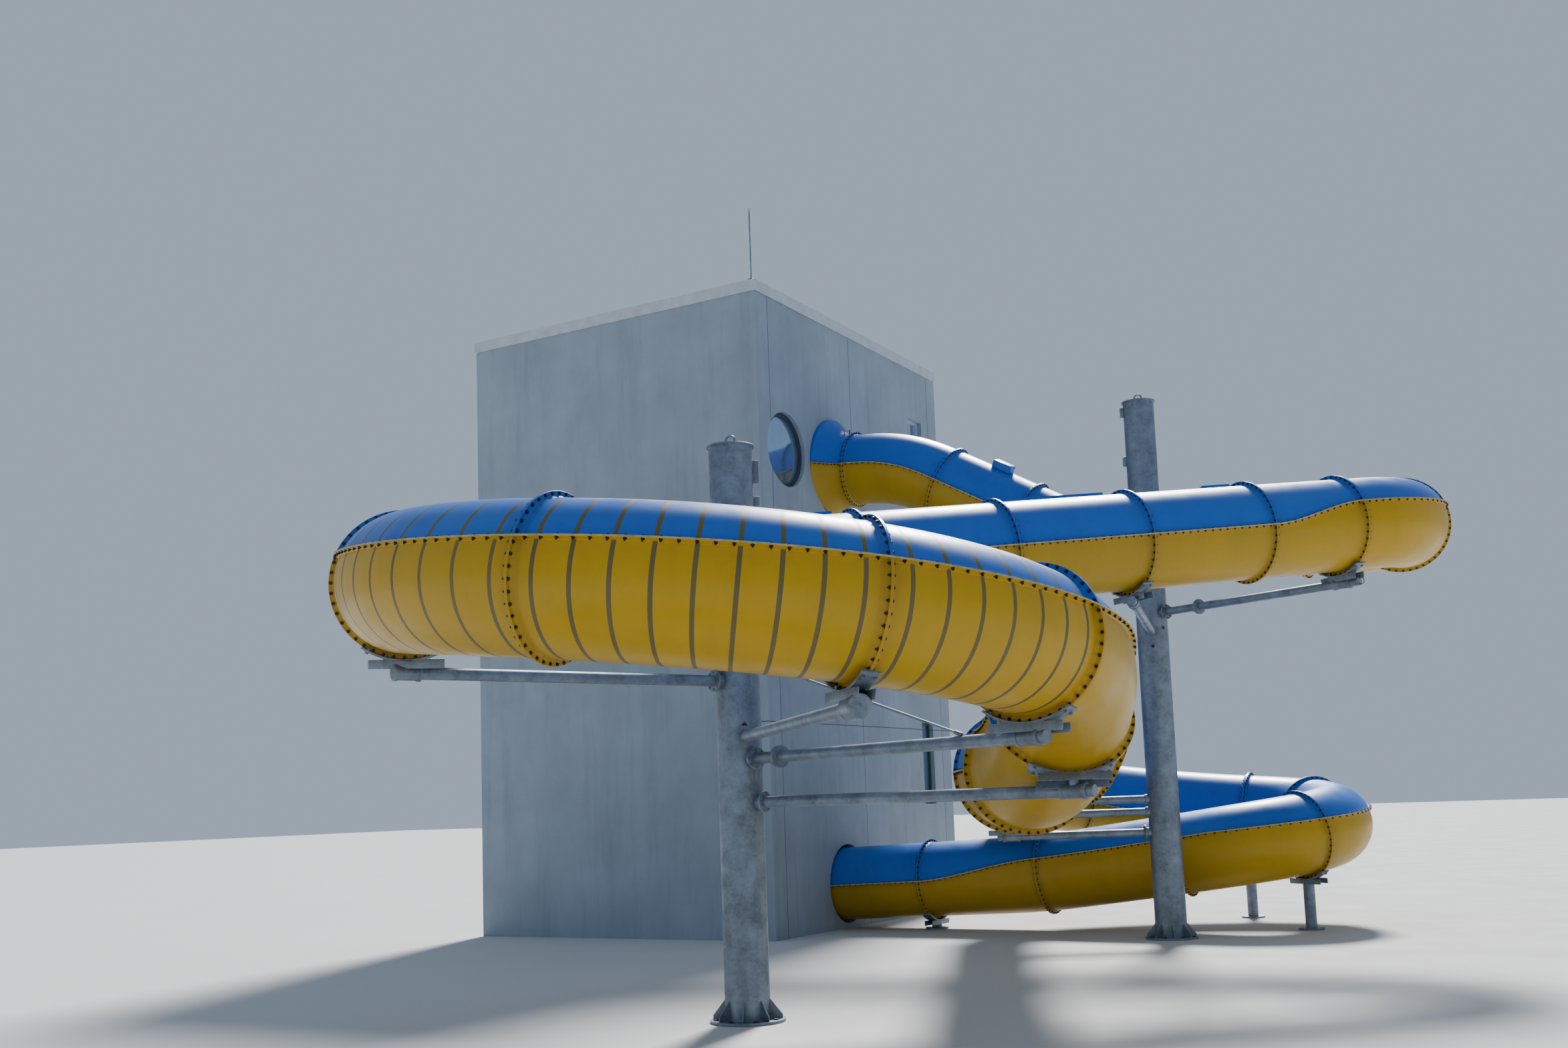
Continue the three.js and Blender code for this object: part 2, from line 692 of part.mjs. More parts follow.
function addWindow(name, opening, frameColour) {
  const outline = windowOutline(opening, GAP);
  const sight = windowOutline(opening, GAP + WINDOW_FRAME);
  addPiece(`${name}_frame`, frameRing(outline, sight, WINDOW_FRAME_DEPTH), frameColour, 0.5, 0.5);
  addPiece(`${name}_glass`, pane(windowOutline(opening, 2 * GAP + WINDOW_FRAME)), GLASS, 0.05, 0);
}

addWindow('small_window', SMALL_WINDOW, ALUMINIUM);
addWindow('narrow_window', NARROW_WINDOW, WINDOW_GREEN);

// Columns: hollow pipes with a cap plate, a lifting eye and a base plate
function columnPipe(column) {
  const top = column.top + PIT_DEPTH;
  const inner = COLUMN_RADIUS - COLUMN_WALL;
  const under = top - CAP.thickness;
  const profile = [
    [0, under],
    [inner, under],
    [inner, 0],
    [BASE_PLATE.radius, 0],
    [BASE_PLATE.radius, BASE_PLATE.thickness],
    [COLUMN_RADIUS, BASE_PLATE.thickness],
    [COLUMN_RADIUS, under],
    [CAP.radius, under],
    [CAP.radius, top],
    [0, top],
  ];
  const frame = { ...VERTICAL, origin: new THREE.Vector3(column.x, column.y, 0) };
  const eye = new THREE.TorusGeometry(EYE.radius, EYE.wire, EYE.wireSides, EYE.sides);
  const stand = new THREE.Matrix4().makeRotationX(Math.PI / 2);
  stand.setPosition(column.x, column.y, top + EYE.radius);
  return joined([turnedAlong(profile, frame, COLUMN_SIDES), placed(eye, stand)]);
}

addSteel('column_1', columnPipe(COLUMN_1));
addSteel('column_2', columnPipe(COLUMN_2));

// Cutters that leave the clearance around a column or a ring flange
function columnCutter(column) {
  const foot = new THREE.Vector3(column.x, column.y, -PIT_DEPTH);
  const head = new THREE.Vector3(column.x, column.y, column.top + 2 * PIT_DEPTH);
  const frame = { ...VERTICAL, origin: foot };
  const radius = COLUMN_RADIUS + GAP;
  const profile = [[0, 0], [radius, 0], [radius, head.z - foot.z], [0, head.z - foot.z]];
  return turnedAlong(profile, frame, COLUMN_SIDES);
}

function flangeCutter(station) {
  const reach = 2 * SADDLE.halfWidth;
  const frames = framesAround(station, [-reach, ...ringOffsets(station), reach]);
  return solidOf(extrudedAlong(flangeOutline(GAP), frames));
}

function lowestPoint(station) {
  const level = frameAt(ringCentre(station));
  return level.origin.clone().addScaledVector(level.up, -FLANGE_RADIUS);
}

// Curved saddle plate that cradles a ring flange from below
function saddlePlate(station) {
  const level = frameAt(ringCentre(station));
  const inner = FLANGE_RADIUS * Math.cos(Math.PI / (2 * SIDES_PER_HALF)) - SADDLE.overlap;
  const outer = FLANGE_RADIUS + SADDLE.thickness;
  const reach = radians(SADDLE.halfAngle);
  const arc = (radius, from, to) => {
    const points = [];
    for (let i = 0; i <= SADDLE.sides; i += 1) {
      const angle = -Math.PI / 2 + THREE.MathUtils.lerp(from, to, i / SADDLE.sides);
      points.push([radius * Math.cos(angle), radius * Math.sin(angle)]);
    }
    return points;
  };
  const shape = shapeFrom([...arc(outer, -reach, reach), ...arc(inner, reach, -reach)]);
  return solidOf(straightAlong(shape, level, -SADDLE.halfWidth, SADDLE.halfWidth));
}

function atHeight(point, z) {
  return new THREE.Vector3(point.x, point.y, z);
}

// Start, direction and reach of a level arm from a column to below a ring
function armLine(arm) {
  const height = arm.z + PIT_DEPTH;
  const root = new THREE.Vector3(arm.column.x, arm.column.y, height);
  const seat = atHeight(lowestPoint(arm.ring), height);
  const direction = seat.clone().sub(root);
  const reach = direction.length();
  direction.normalize();
  return { root, seat, direction, reach };
}

function supportArm(arm) {
  const { root, seat, direction, reach } = armLine(arm);
  const at = (along) => root.clone().addScaledVector(direction, along);
  const tip = at(reach + arm.beyond);
  const plateStart = COLUMN_RADIUS + COLLAR_PLATE.offset;
  const halfSleeve = SLEEVE_LENGTH / 2;
  const pieces = [
    barBetween(root, tip, ARM_RADIUS, ARM_SIDES),
    barBetween(at(plateStart), at(plateStart + COLLAR_PLATE.thickness), COLLAR_PLATE.radius, ARM_SIDES),
    barBetween(at(reach - halfSleeve), at(reach + halfSleeve), SLEEVE_RADIUS, ARM_SIDES),
    barBetween(seat, lowestPoint(arm.ring).addScaledVector(UP, SADDLE.thickness), STEM_RADIUS, ARM_SIDES),
    saddlePlate(arm.ring),
  ];
  if (arm.drum) {
    pieces.push(barBetween(at(reach + arm.beyond - DRUM.length), tip, DRUM.radius, ARM_SIDES));
  }
  if (arm.joint) {
    const plates = at(arm.joint + 2 * COLLAR_PLATE.thickness);
    pieces.push(barBetween(at(arm.joint), plates, COLLAR_PLATE.radius, ARM_SIDES));
  }
  return joined(pieces).subtract(flangeCutter(arm.ring)).subtract(columnCutter(arm.column));
}

for (const arm of ARMS) {
  addSteel(arm.name, supportArm(arm));
}

// Level struts from a column to the side of a ring flange, with a plate against the flange
function sideStrut(strut) {
  const height = strut.z + PIT_DEPTH;
  const root = new THREE.Vector3(strut.column.x, strut.column.y, height);
  const ring = frameAt(ringCentre(strut.ring)).origin;
  const direction = atHeight(ring, height).sub(root).normalize();
  const distance = Math.hypot(ring.x - root.x, ring.y - root.y);
  const end = root.clone().addScaledVector(direction, distance);
  const drop = ring.z - height;
  const half = Math.sqrt(FLANGE_RADIUS * FLANGE_RADIUS - drop * drop);
  const plate = root.clone().addScaledVector(direction, distance - half - COLLAR_PLATE.thickness * 2);
  const plateEnd = plate.clone().addScaledVector(direction, COLLAR_PLATE.thickness * 3);
  const pieces = [
    barBetween(root, end, ARM_RADIUS, ARM_SIDES),
    barBetween(plate, plateEnd, SLEEVE_RADIUS, ARM_SIDES),
  ];
  const cut = joined(pieces).subtract(flangeCutter(strut.ring)).subtract(columnCutter(strut.column));
  return cut.decompose().sort((a, b) => b.volume() - a.volume())[0];
}

for (const strut of SIDE_STRUTS) {
  addSteel(strut.name, sideStrut(strut));
}

// Low posts from the base up to a saddle
function lowPost(post) {
  const seat = lowestPoint(post.ring);
  const foot = atHeight(seat, 0);
  const plate = atHeight(seat, BASE_PLATE.thickness);
  const pieces = [
    barBetween(foot, seat.clone().addScaledVector(UP, SADDLE.thickness), POST_RADIUS, ARM_SIDES),
    barBetween(foot, plate, POST_PLATE, ARM_SIDES),
    saddlePlate(post.ring),
  ];
  return joined(pieces).subtract(flangeCutter(post.ring));
}

for (const post of POSTS) {
  addSteel(post.name, lowPost(post));
}

// Tie rods with a turnbuckle in the middle
function tieRod(from, to) {
  const direction = to.clone().sub(from).normalize();
  const middle = from.clone().lerp(to, 0.5);
  const half = TIE.buckleLength / 2;
  return joined([
    barBetween(from, to, TIE.radius, TIE.sides),
    barBetween(
      middle.clone().addScaledVector(direction, -half),
      middle.clone().addScaledVector(direction, half),
      TIE.buckleRadius,
      TIE.sides,
    ),
  ]);
}

function columnOneTie() {
  const arm = ARMS[TIE_1.armIndex];
  const { root, direction, reach } = armLine(arm);
  const from = atHeight(root, TIE_1.columnZ + PIT_DEPTH);
  const to = root.clone().addScaledVector(direction, reach * TIE_1.armShare);
  const armTip = root.clone().addScaledVector(direction, reach);
  const armTop = barBetween(root, armTip, ARM_RADIUS + GAP, ARM_SIDES);
  const rod = tieRod(from, to).subtract(columnCutter(arm.column)).subtract(armTop);
  return rod.decompose().sort((a, b) => b.volume() - a.volume())[0];
}

function columnTwoTie() {
  const from = new THREE.Vector3(COLUMN_2.x, COLUMN_2.y, TIE_2.columnZ + PIT_DEPTH);
  const level = frameAt(ringCentre(TIE_2.ring));
  const to = level.origin.clone().addScaledVector(level.up, FLANGE_RADIUS - TIE.eyeRadius);
  const rod = tieRod(from, to).subtract(columnCutter(COLUMN_2)).subtract(flangeCutter(TIE_2.ring));
  return rod.decompose().sort((a, b) => b.volume() - a.volume())[0];
}

addSteel('column_1_tie_rod', columnOneTie());
addSteel('column_2_tie_rod', columnTwoTie());

// The origin is the middle of the footprint, at the base
const extent = new THREE.Box3().setFromObject(assembly);
const middle = extent.getCenter(new THREE.Vector3());
assembly.position.set(-middle.x, -middle.y, -extent.min.z);
const slideTower = new THREE.Group();
slideTower.add(assembly);

export default slideTower;
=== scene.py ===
"""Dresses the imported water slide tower: fine shells, bolts, steelwork, tower finishes and the stage."""

import math

import bmesh
import bpy
from bpy.props import FloatProperty, FloatVectorProperty, IntProperty, PointerProperty
from mathutils import Matrix, Vector


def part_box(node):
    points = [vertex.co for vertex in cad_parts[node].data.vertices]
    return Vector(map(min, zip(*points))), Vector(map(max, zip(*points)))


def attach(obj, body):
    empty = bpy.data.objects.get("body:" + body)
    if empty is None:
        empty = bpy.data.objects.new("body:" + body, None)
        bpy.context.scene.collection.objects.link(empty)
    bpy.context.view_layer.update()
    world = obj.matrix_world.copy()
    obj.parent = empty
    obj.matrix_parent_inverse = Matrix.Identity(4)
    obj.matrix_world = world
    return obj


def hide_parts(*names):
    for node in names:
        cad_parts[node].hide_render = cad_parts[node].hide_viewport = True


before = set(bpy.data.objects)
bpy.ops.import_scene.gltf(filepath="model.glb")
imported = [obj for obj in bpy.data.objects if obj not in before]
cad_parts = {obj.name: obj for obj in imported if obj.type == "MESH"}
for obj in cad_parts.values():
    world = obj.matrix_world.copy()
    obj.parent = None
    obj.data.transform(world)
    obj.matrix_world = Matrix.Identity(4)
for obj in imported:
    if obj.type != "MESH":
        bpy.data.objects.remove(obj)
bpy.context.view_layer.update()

bl_info = {
    "name": "Water slide tower",
    "version": (1, 0, 0),
    "blender": (4, 5, 0),
    "location": "View3D > Sidebar > Slide tower",
    "description": "Dresses the packed water slide tower with shells, bolts, steelwork and finishes",
    "category": "Object",
}

# The survey frame is set on the tower's right face; heights there are above the gravel
FACE_X = -12.6
TOWER_FRONT_Y = 21.4
PIT_DEPTH = 0.75
WALL_LOW, WALL_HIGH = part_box("tower_right_wall_front")
SHIFT = Vector((WALL_HIGH.x - FACE_X, WALL_LOW.y - TOWER_FRONT_Y, PIT_DEPTH))

GAP = 0.0003
MERGE_DISTANCE = 1e-5
SHARP_ANGLE = math.radians(35.0)
UP = Vector((0.0, 0.0, 1.0))
FULL_TURN = 2 * math.pi
WIRE_SIDES = 12
WIRE_STEPS = 28
# Turns a bolt upright on a seam, and outwards on a ring
SEAM_TURN = Matrix.Rotation(math.radians(-90), 4, "X")
RING_TURN = Matrix.Rotation(math.radians(90), 4, "Y")

# Route of the tube's axis: length or radius in metres, turn in degrees (0 on a straight), end slope
ROUTE_START = (-12.6, 24.0, 7.24, math.radians(1.5), 0.08)
ROUTE_SECTIONS = [
    (0.8, 0, 0.08),
    (1.2, 0, 0.56),
    (1.8, 0, 0.56),
    (0.9, 0, 0.095),
    (3.15, 0, 0.095),
    (1.6, -131, 0.094),
    (9.85, 0, 0.1),
    (2.95, 150, 0.115),
    (3.0, 74, 0.14),
    (2.4, 30, 0.64),
    (1.2, 0, 0.015),
    (6.0, -12, 0.015),
    (8.6, 0, 0.015),
    (1.8, -75, 0.16),
    (4.4, -38, 0.08),
    (1.35, -179.5, 0.14),
    (2.4, 0, 0.12),
    (1.0, 0, 0.04),
    (3.25, 0, 0.04),
]

# Runs between bolted joints: bank in degrees, then the stations of the ring flanges
COLLAR_LENGTH = 0.45
RUNS = {
    "start_drop": (0, [COLLAR_LENGTH, 2.15, 3.55, 5.15, 7.95]),
    "upper_turn": (20, [7.95, 10.0, 11.91]),
    "upper_near_run": (0, [11.91, 13.36, 15.16, 17.01, 18.86, 20.71]),
    "front_bend": (-22, [20.71, 23.01, 25.57, 28.28, 30.59, 32.4]),
    "dive": (-22, [32.4, 34.11]),
    "dive_foot": (35, [34.11, 35.46]),
    "under_run": (0, [35.46, 36.87, 38.97, 41.07, 43.17, 45.27]),
    "back_turn": (10, [45.27, 47.57]),
    "lower_far_run": (10, [47.57, 50.34]),
    "lower_turn": (22, [50.34, 51.54, 53.53, 55.32, 57.52]),
    "outlet_run": (0, [57.52, 59.57, 61.423]),
}
# Sections where the seams twist to the bank of their run: start, end, bank at the start
TWISTS = {"upper_near_run": (11.91, 13.36, 20), "outlet_run": (57.52, 59.57, 22)}
# Translucent rings in the sections that start from these stations
STRIPES = {20.71: 8, 23.01: 9, 25.57: 9, 28.28: 9, 30.59: 7}
STRIPE_MARGIN = 0.15
# Sections of a shell that lie closer than this are made one
SHORTEST_STEP = 0.012

# Dirt on the ring flanges, how close to them it gathers, and the extra sections that carry it
RING_SOIL = 0.5
SOIL_REACH = 0.09
SOIL_OFFSETS = (0.03, 0.07, 0.15)

# Moulded root of a seam flange: foot on the shell, reach along the flange, and the point between
SEAM_FOOT = 0.007
SEAM_REACH = 0.009
SEAM_MIDDLE = (0.003, 0.0025)
SEAM_BOLT_MARGIN = 0.085
# Moulded root of a ring flange: its run along the shell, and points as radius and distance
RING_ROOT_RUN = 0.055
RING_ROOT = [(0.6105, 0.055), (0.6125, 0.03), (0.618, 0.012), (0.628, 0.002), (0.636, 0.0)]
RING_BORE_INSET = 0.006
RING_EDGE = 0.002

# Flared collar: mouth radius, wall, seam flange, power and rows of the flare, reach behind the face
COLLAR_MOUTH = 0.9
COLLAR_WALL = 0.012
COLLAR_FLANGE = 0.06
COLLAR_POWER = 1.9
COLLAR_ROWS = 16
COLLAR_BEHIND = 0.25
COLLAR_BOLT_LIFT = 0.035

# Raised ribs along the crown of the upper near run, from and to, and the angle past the crown
CROWN_RIBS = [(13.4, 13.82), (15.31, 16.98), (19.0, 20.68)]
CROWN_ANGLE = 13.0
RIB_WIDTH = 0.11
RIB_HEIGHT = 0.075
RIB_LIFT = 0.028
BOX_STATION = 2.9
BOX_SIZE = (0.2, 0.13, 0.34)
BOX_SINK = 0.005
# Handle on the collar: distance, half its angle, wire, sunk foot, height, ends past the posts
HANDLE_DISTANCE = 0.3
HANDLE_HALF_ANGLE = 9.0
HANDLE_WIRE = 0.009
HANDLE_SINK = 0.01
HANDLE_HEIGHT = 0.06
HANDLE_END = 0.008

# Columns: axis and top above the gravel
COLUMNS = {"column_1": (-8.34, 13.56, 5.14), "column_2": (-6.71, 22.8, 7.29)}
COLUMN_CAP_RADIUS = 0.25
COLUMN_CAP_THICKNESS = 0.02
BASE_RADIUS = 0.38
BASE_THICKNESS = 0.03
WELD = 0.012
EYE_RADIUS = 0.055
EYE_WIRE = 0.013
GUSSETS = 8
GUSSET_SIZE = (0.13, 0.012, 0.2)
GUSSET_OUT = 0.06
# How far the outer top corner of a gusset is cut down, and how near to it a corner has to lie
GUSSET_CUT = 0.16
GUSSET_CORNER = 0.02
ANCHOR_CIRCLE = 0.325
ANCHOR_HEAD = 0.024
ANCHOR_WASHER = 0.036
ANCHOR_CUT_HEIGHT = 0.001
# Upright plates on the columns: heading in degrees, low and high end above the gravel
COLUMN_PLATES = {
    "column_1": [(31.0, 3.3, 4.6), (31.0, 4.74, 4.98)],
    "column_2": [(212.0, 7.05, 7.2), (212.0, 6.29, 6.44)],
}
COLUMN_PLATE_DEPTH = 0.07
COLUMN_PLATE_THICKNESS = 0.016
COLUMN_PLATE_OUT = 0.025
# Drilled cable holes: heading in degrees and height above the gravel
COLUMN_HOLES = {"column_1": [(-44.3, 2.21)], "column_2": [(-30.3, 3.8), (-75.1, 3.53)]}
HOLE_RADIUS = 0.026
HOLE_SINK = 0.004
HOLE_PLUG = 0.006
HOLE_RIM_WIRE = 0.006

# Arms under a ring flange: column, ring station, height, reach beyond the ring
ARMS = {
    "column_1_arm_left": ("column_1", 25.57, 2.67, 0.09),
    "column_1_arm_middle": ("column_1", 30.59, 2.09, 0.26),
    "column_1_arm_right": ("column_1", 32.4, 1.87, 0.2),
    "column_1_arm_dive": ("column_1", 34.11, 1.43, 0.2),
    "column_2_arm_turn": ("column_2", 11.91, 4.03, 0.26),
    "column_2_arm_near": ("column_2", 15.16, 3.74, 0.26),
    "column_2_arm_far": ("column_2", 5.15, 4.68, 0.15),
    "column_2_arm_under_low": ("column_2", 43.17, 0.8, 0.2),
}
ARM_JOINTS = {"column_1_arm_right": 0.7, "column_2_arm_turn": 0.9}
ARM_WITH_DRUM = "column_1_arm_middle"
ARM_WITH_RING = "column_2_arm_turn"
# How far a pipe runs into its column
ROOT_SINK = 0.02
ROOT_COLLAR_LENGTH = 0.06
ROOT_COLLAR_EXTRA = 0.016
ROOT_PLATE = 0.02
JOINT_PLATE = 0.0195
JOINT_PITCH = 0.0205
PIPE_BOLTS = 8
SLEEVE_HALF = 0.13
BAND_INSET = 0.02
BAND_HALF = 0.016
BAND_EXTRA = 0.008
DRUM_RADIUS = 0.095
DRUM_LENGTH = 0.3
TIP_RING = (0.042, 0.008)
TIP_RING_OUT = 0.03
# Stem under a saddle: room under the ring, and the nut and ring that a long one has
STEM_ROOM = 0.018
STEM_LONG = 0.16
STEM_NUT = (0.05, 0.012)
STEM_RING = (0.075, 0.1)
STEM_EXTRA = 0.014

SADDLE_HALF_ANGLE = math.radians(35.0)
SADDLE_ROOM = 0.0005
SADDLE_EDGE = 0.002
SADDLE_PLATE_LENGTH = 0.66
SADDLE_PLATE_DEPTH = 0.08
SADDLE_PLATE = 0.012
SADDLE_BOLT_SHARES = (0.45, 0.85)
SADDLE_BOLT_ALONG = 0.05
SADDLE_BOLT_SINK = 0.008
SADDLE_BOLT = {"grip": 0.024, "head": 0.013, "washer": 0.018}

# Side struts of column 2: ring station and height
STRUTS = {
    "column_2_strut_under_middle": (43.17, 1.1),
    "column_2_strut_under_high": (43.17, 1.285),
    "column_2_strut_outlet": (55.32, 0.56),
}
STRUT_COLLAR_RADIUS = 0.072
STRUT_COLLAR_LENGTH = 0.05
STRUT_END = 0.02
STRUT_SHOE = (0.045, 0.001)
POSTS = {"lower_far_post": 50.34, "lower_turn_post": 53.53, "outlet_saddle": 59.57}
POST_RADIUS = 0.084
POST_ROOM = 0.016
POST_PLATE_RADIUS = 0.19
# A ring this low rests on its saddle alone
LOWEST_POST = 0.08

# Tie rods: heights on the columns, share of the arm's length, ring station, and their parts
TIE_1_HEIGHT = 2.95
TIE_1_SHARE = 0.86
TIE_2_HEIGHT = 6.75
TIE_2_STATION = 5.15
TIE_RADIUS = 0.011
BUCKLE_HALF = 0.155
BUCKLE_OFFSET = 0.017
BUCKLE_WIRE = 0.0065
BUCKLE_NUT_HALF = 0.025
BUCKLE_NUT_RADIUS = 0.0235
TIE_EYE_START = 0.02
TIE_EYE_LENGTH = 0.1
TIE_EYE_RADIUS = 0.019

# Vertical panel joints on the right face and a low level joint, in the survey frame
PANEL_JOINTS_Y = [21.8, 24.72, 28.1]
LEVEL_JOINT_Z = 2.72
JOINT_HALF_WIDTH = 0.007

SENSOR_WIDTH = 36.0
VIEW_REACH = 1000.0
SUN_ANGLE = math.radians(12.0)
SUN_COLOUR = (1.0, 0.97, 0.92)


def metres(name, description, default):
    """A setting in metres."""
    return FloatProperty(name=name, description=description, default=default, unit="LENGTH")


def degrees(name, description, default):
    """A setting in degrees."""
    return FloatProperty(
        name=name, description=description, default=math.radians(default), subtype="ANGLE"
    )


def tint(name, description, default):
    """A colour setting."""
    return FloatVectorProperty(name=name, description=description, default=default, subtype="COLOR")


class TubeSettings(bpy.types.PropertyGroup):
    """Sizes and colours of the tube."""

    radius: metres("Tube radius", "Outer radius of the shell", 0.61)
    wall: metres("Wall", "Thickness of the shell", 0.01)
    flange_radius: metres("Flange radius", "Outer radius of all flanges", 0.664)
    seam_thickness: metres("Seam flange", "Thickness of one seam flange", 0.008)
    ring_thickness: metres("Ring flange", "Thickness of a ring flange", 0.024)
    step: metres("Step", "Distance between sections of the shell", 0.14)
    segments: IntProperty(name="Segments", description="Sides of one half shell", default=28, min=6)
    bolt_circle: metres("Bolt circle", "Radius that the bolts stand on", 0.645)
    bolt_pitch: metres("Bolt pitch", "Distance between seam bolts", 0.107)
    ring_bolts: IntProperty(name="Ring bolts", description="Bolts in a ring flange", default=44, min=4)
    stripe_width: metres("Stripe width", "Width of a translucent ring", 0.031)
    blue: tint("Blue", "Gelcoat of the upper shells", (0.006, 0.115, 0.5))
    faded_blue: tint("Faded blue", "Blue where the sun has bleached it", (0.02, 0.16, 0.52))
    yellow: tint("Yellow", "Gelcoat of the lower shells", (0.46, 0.272, 0.003))
    faded_yellow: tint("Faded yellow", "Yellow where the sun has bleached it", (0.37, 0.235, 0.01))
    stripe: tint("Stripe", "Translucent rings", (0.115, 0.09, 0.035))
    laminate: tint("Laminate", "Cut edges of the flanges", (0.42, 0.36, 0.2))
    bolt: tint("Bolt", "Bolts and washers", (0.035, 0.028, 0.022))


class SteelSettings(bpy.types.PropertyGroup):
    """Sizes and colours of the columns and arms."""

    column_radius: metres("Column radius", "Outer radius of a column pipe", 0.2285)
    arm_radius: metres("Arm radius", "Outer radius of an arm", 0.057)
    sleeve_radius: metres("Sleeve radius", "Outer radius of the clamp sleeve", 0.068)
    plate_radius: metres("Plate radius", "Radius of the bolted pipe flanges", 0.11)
    stem_radius: metres("Stem radius", "Radius of the stem under a saddle", 0.046)
    saddle_half_width: metres("Saddle half width", "Half the width of a saddle", 0.075)
    saddle_thickness: metres("Saddle thickness", "Thickness of a saddle", 0.02)
    galvanised: tint("Galvanised", "Zinc coat of the steel", (0.175, 0.215, 0.265))


class TowerSettings(bpy.types.PropertyGroup):
    """Colours of the tower."""

    concrete: tint("Concrete", "Precast wall panels", (0.29, 0.35, 0.42))
    aluminium: tint("Aluminium", "Flashing and frames", (0.62, 0.65, 0.68))
    dark_frame: tint("Dark frame", "Porthole frame", (0.035, 0.05, 0.065))
    green_frame: tint("Green frame", "Narrow window frame", (0.02, 0.06, 0.045))
    glass: tint("Glass", "Coated panes", (0.3, 0.45, 0.62))


class StageSettings(bpy.types.PropertyGroup):
    """Camera, light and floor."""

    eye: FloatVectorProperty(
        name="Eye", description="Camera in the survey frame", subtype="XYZ", default=(0.0, 0.0, 1.42)
    )
    heading: degrees("Heading", "Heading of the view", 120.21)
    pitch: degrees("Pitch", "Rise of the view", 6.83)
    roll: degrees("Roll", "Roll of the view", -1.97)
    lens: FloatProperty(name="Lens", description="Focal length in millimetres", default=35.58)
    shift_x: FloatProperty(name="Shift X", description="Camera shift to the right", default=0.0072)
    shift_y: FloatProperty(name="Shift Y", description="Camera shift upwards", default=0.0593)
    floor_size: metres("Floor size", "Width of the floor", 300.0)
    floor: tint("Floor", "Pale floor", (0.5, 0.51, 0.52))
    sky: tint("Sky", "Light of the surroundings", (0.66, 0.81, 1.0))
    sky_strength: FloatProperty(name="Sky strength", description="Strength of the sky", default=0.55)
    sun_strength: FloatProperty(name="Sun strength", description="Strength of the sun", default=9.0)
    sun_heading: degrees("Sun heading", "Where the sun stands", 104.0)
    sun_height: degrees("Sun height", "Rise of the sun", 42.0)


def along_section(row, travelled):
    """Position, heading and slope at a distance into a section."""
    _, length, turn, (x, y, z, start_heading, slope), end_slope = row
    heading = start_heading + turn * travelled / length
    gain = end_slope - slope
    z -= slope * travelled + gain * travelled * travelled / (2 * length)
    slope += gain * travelled / length
    if turn == 0:
        x += travelled * math.cos(start_heading)
        y += travelled * math.sin(start_heading)
    else:
        radius = length / turn
        x += radius * (math.sin(heading) - math.sin(start_heading))
        y -= radius * (math.cos(heading) - math.cos(start_heading))
    return x, y, z, heading, slope


def laid_route():
    """Keeps where each section starts, so that any distance can be looked up."""
    rows = []
    place = ROUTE_START
    distance = 0.0
    for size, turn, end_slope in ROUTE_SECTIONS:
        length = size if turn == 0 else size * math.radians(abs(turn))
        row = (distance, length, math.radians(turn), place, end_slope)
        rows.append(row)
        distance += length
        place = along_section(row, length)
    return rows


ROUTE = laid_route()


def placed_axes(x_axis, y_axis, z_axis, origin):
    """A matrix with the three axes as columns."""
    matrix = Matrix((x_axis, y_axis, z_axis)).transposed().to_4x4()
    matrix.translation = origin
    return matrix


def tube_place(distance, bank=0.0):
    """Frame of the tube: local X to the left, Y up, Z along the tube."""
    row = [row for row in ROUTE if row[0] <= distance][-1]
    x, y, z, heading, slope = along_section(row, distance - row[0])
    tangent = Vector((math.cos(heading), math.sin(heading), -slope)).normalized()
    left = Vector((-math.sin(heading), math.cos(heading), 0.0))
    turn = Matrix.Rotation(math.radians(bank), 3, tangent)
    origin = Vector((x, y, z)) + SHIFT
    return placed_axes(turn @ left, turn @ tangent.cross(left), tangent, origin)


def bank_at(run, distance):
    """Bank of a run at a distance, in degrees."""
    bank = RUNS[run][0]
    if run not in TWISTS:
        return bank
    start, end, first = TWISTS[run]
    share = min(max((distance - start) / (end - start), 0.0), 1.0)
    return first + (bank - first) * share * share * (3 - 2 * share)


def axis_place(origin, direction):
    """A frame at the origin whose local Z runs along the direction."""
    turn = UP.rotation_difference(direction.normalized()).to_matrix().to_4x4()
    return Matrix.Translation(origin) @ turn


def moved_by(x, y, z):
    """A plain move."""
    return Matrix.Translation((x, y, z))


def turned(degrees_round):
    """A turn about local Z."""
    return Matrix.Rotation(math.radians(degrees_round), 4, "Z")


def outward(heading):
    """Level direction of a heading in radians."""
    return Vector((math.cos(heading), math.sin(heading), 0.0))


def on_axis(column, height):
    """A point on a column's axis, by its height above the gravel."""
    x, y, _ = COLUMNS[column]
    return Vector((x, y, height)) + SHIFT


def finished(name, bm, finishes, nodes=()):
    """Makes the piece from its bmesh, rides it on the part and lets it stand for its CAD nodes."""
    bmesh.ops.remove_doubles(bm, verts=bm.verts, dist=MERGE_DISTANCE)
    bmesh.ops.recalc_face_normals(bm, faces=bm.faces)
    mesh = bpy.data.meshes.new(name)
    bm.to_mesh(mesh)
    bm.free()
    mesh.shade_smooth()
    mesh.set_sharp_from_angle(angle=SHARP_ANGLE)
    for finish in finishes:
        mesh.materials.append(material(finish))
    piece = bpy.data.objects.new(name, mesh)
    bpy.context.scene.collection.objects.link(piece)
    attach(piece, "root")
    if nodes:
        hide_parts(*nodes)


def finished_steel(node, bm, ending="pipe"):
    """A galvanised piece that stands for one CAD node."""
    finished(f"{node}_{ending}", bm, ["zinc"], [node])


def finished_fittings(name, bm):
    """Dark steel fittings that stand for no CAD node."""
    finished(name, bm, ["bolt"])


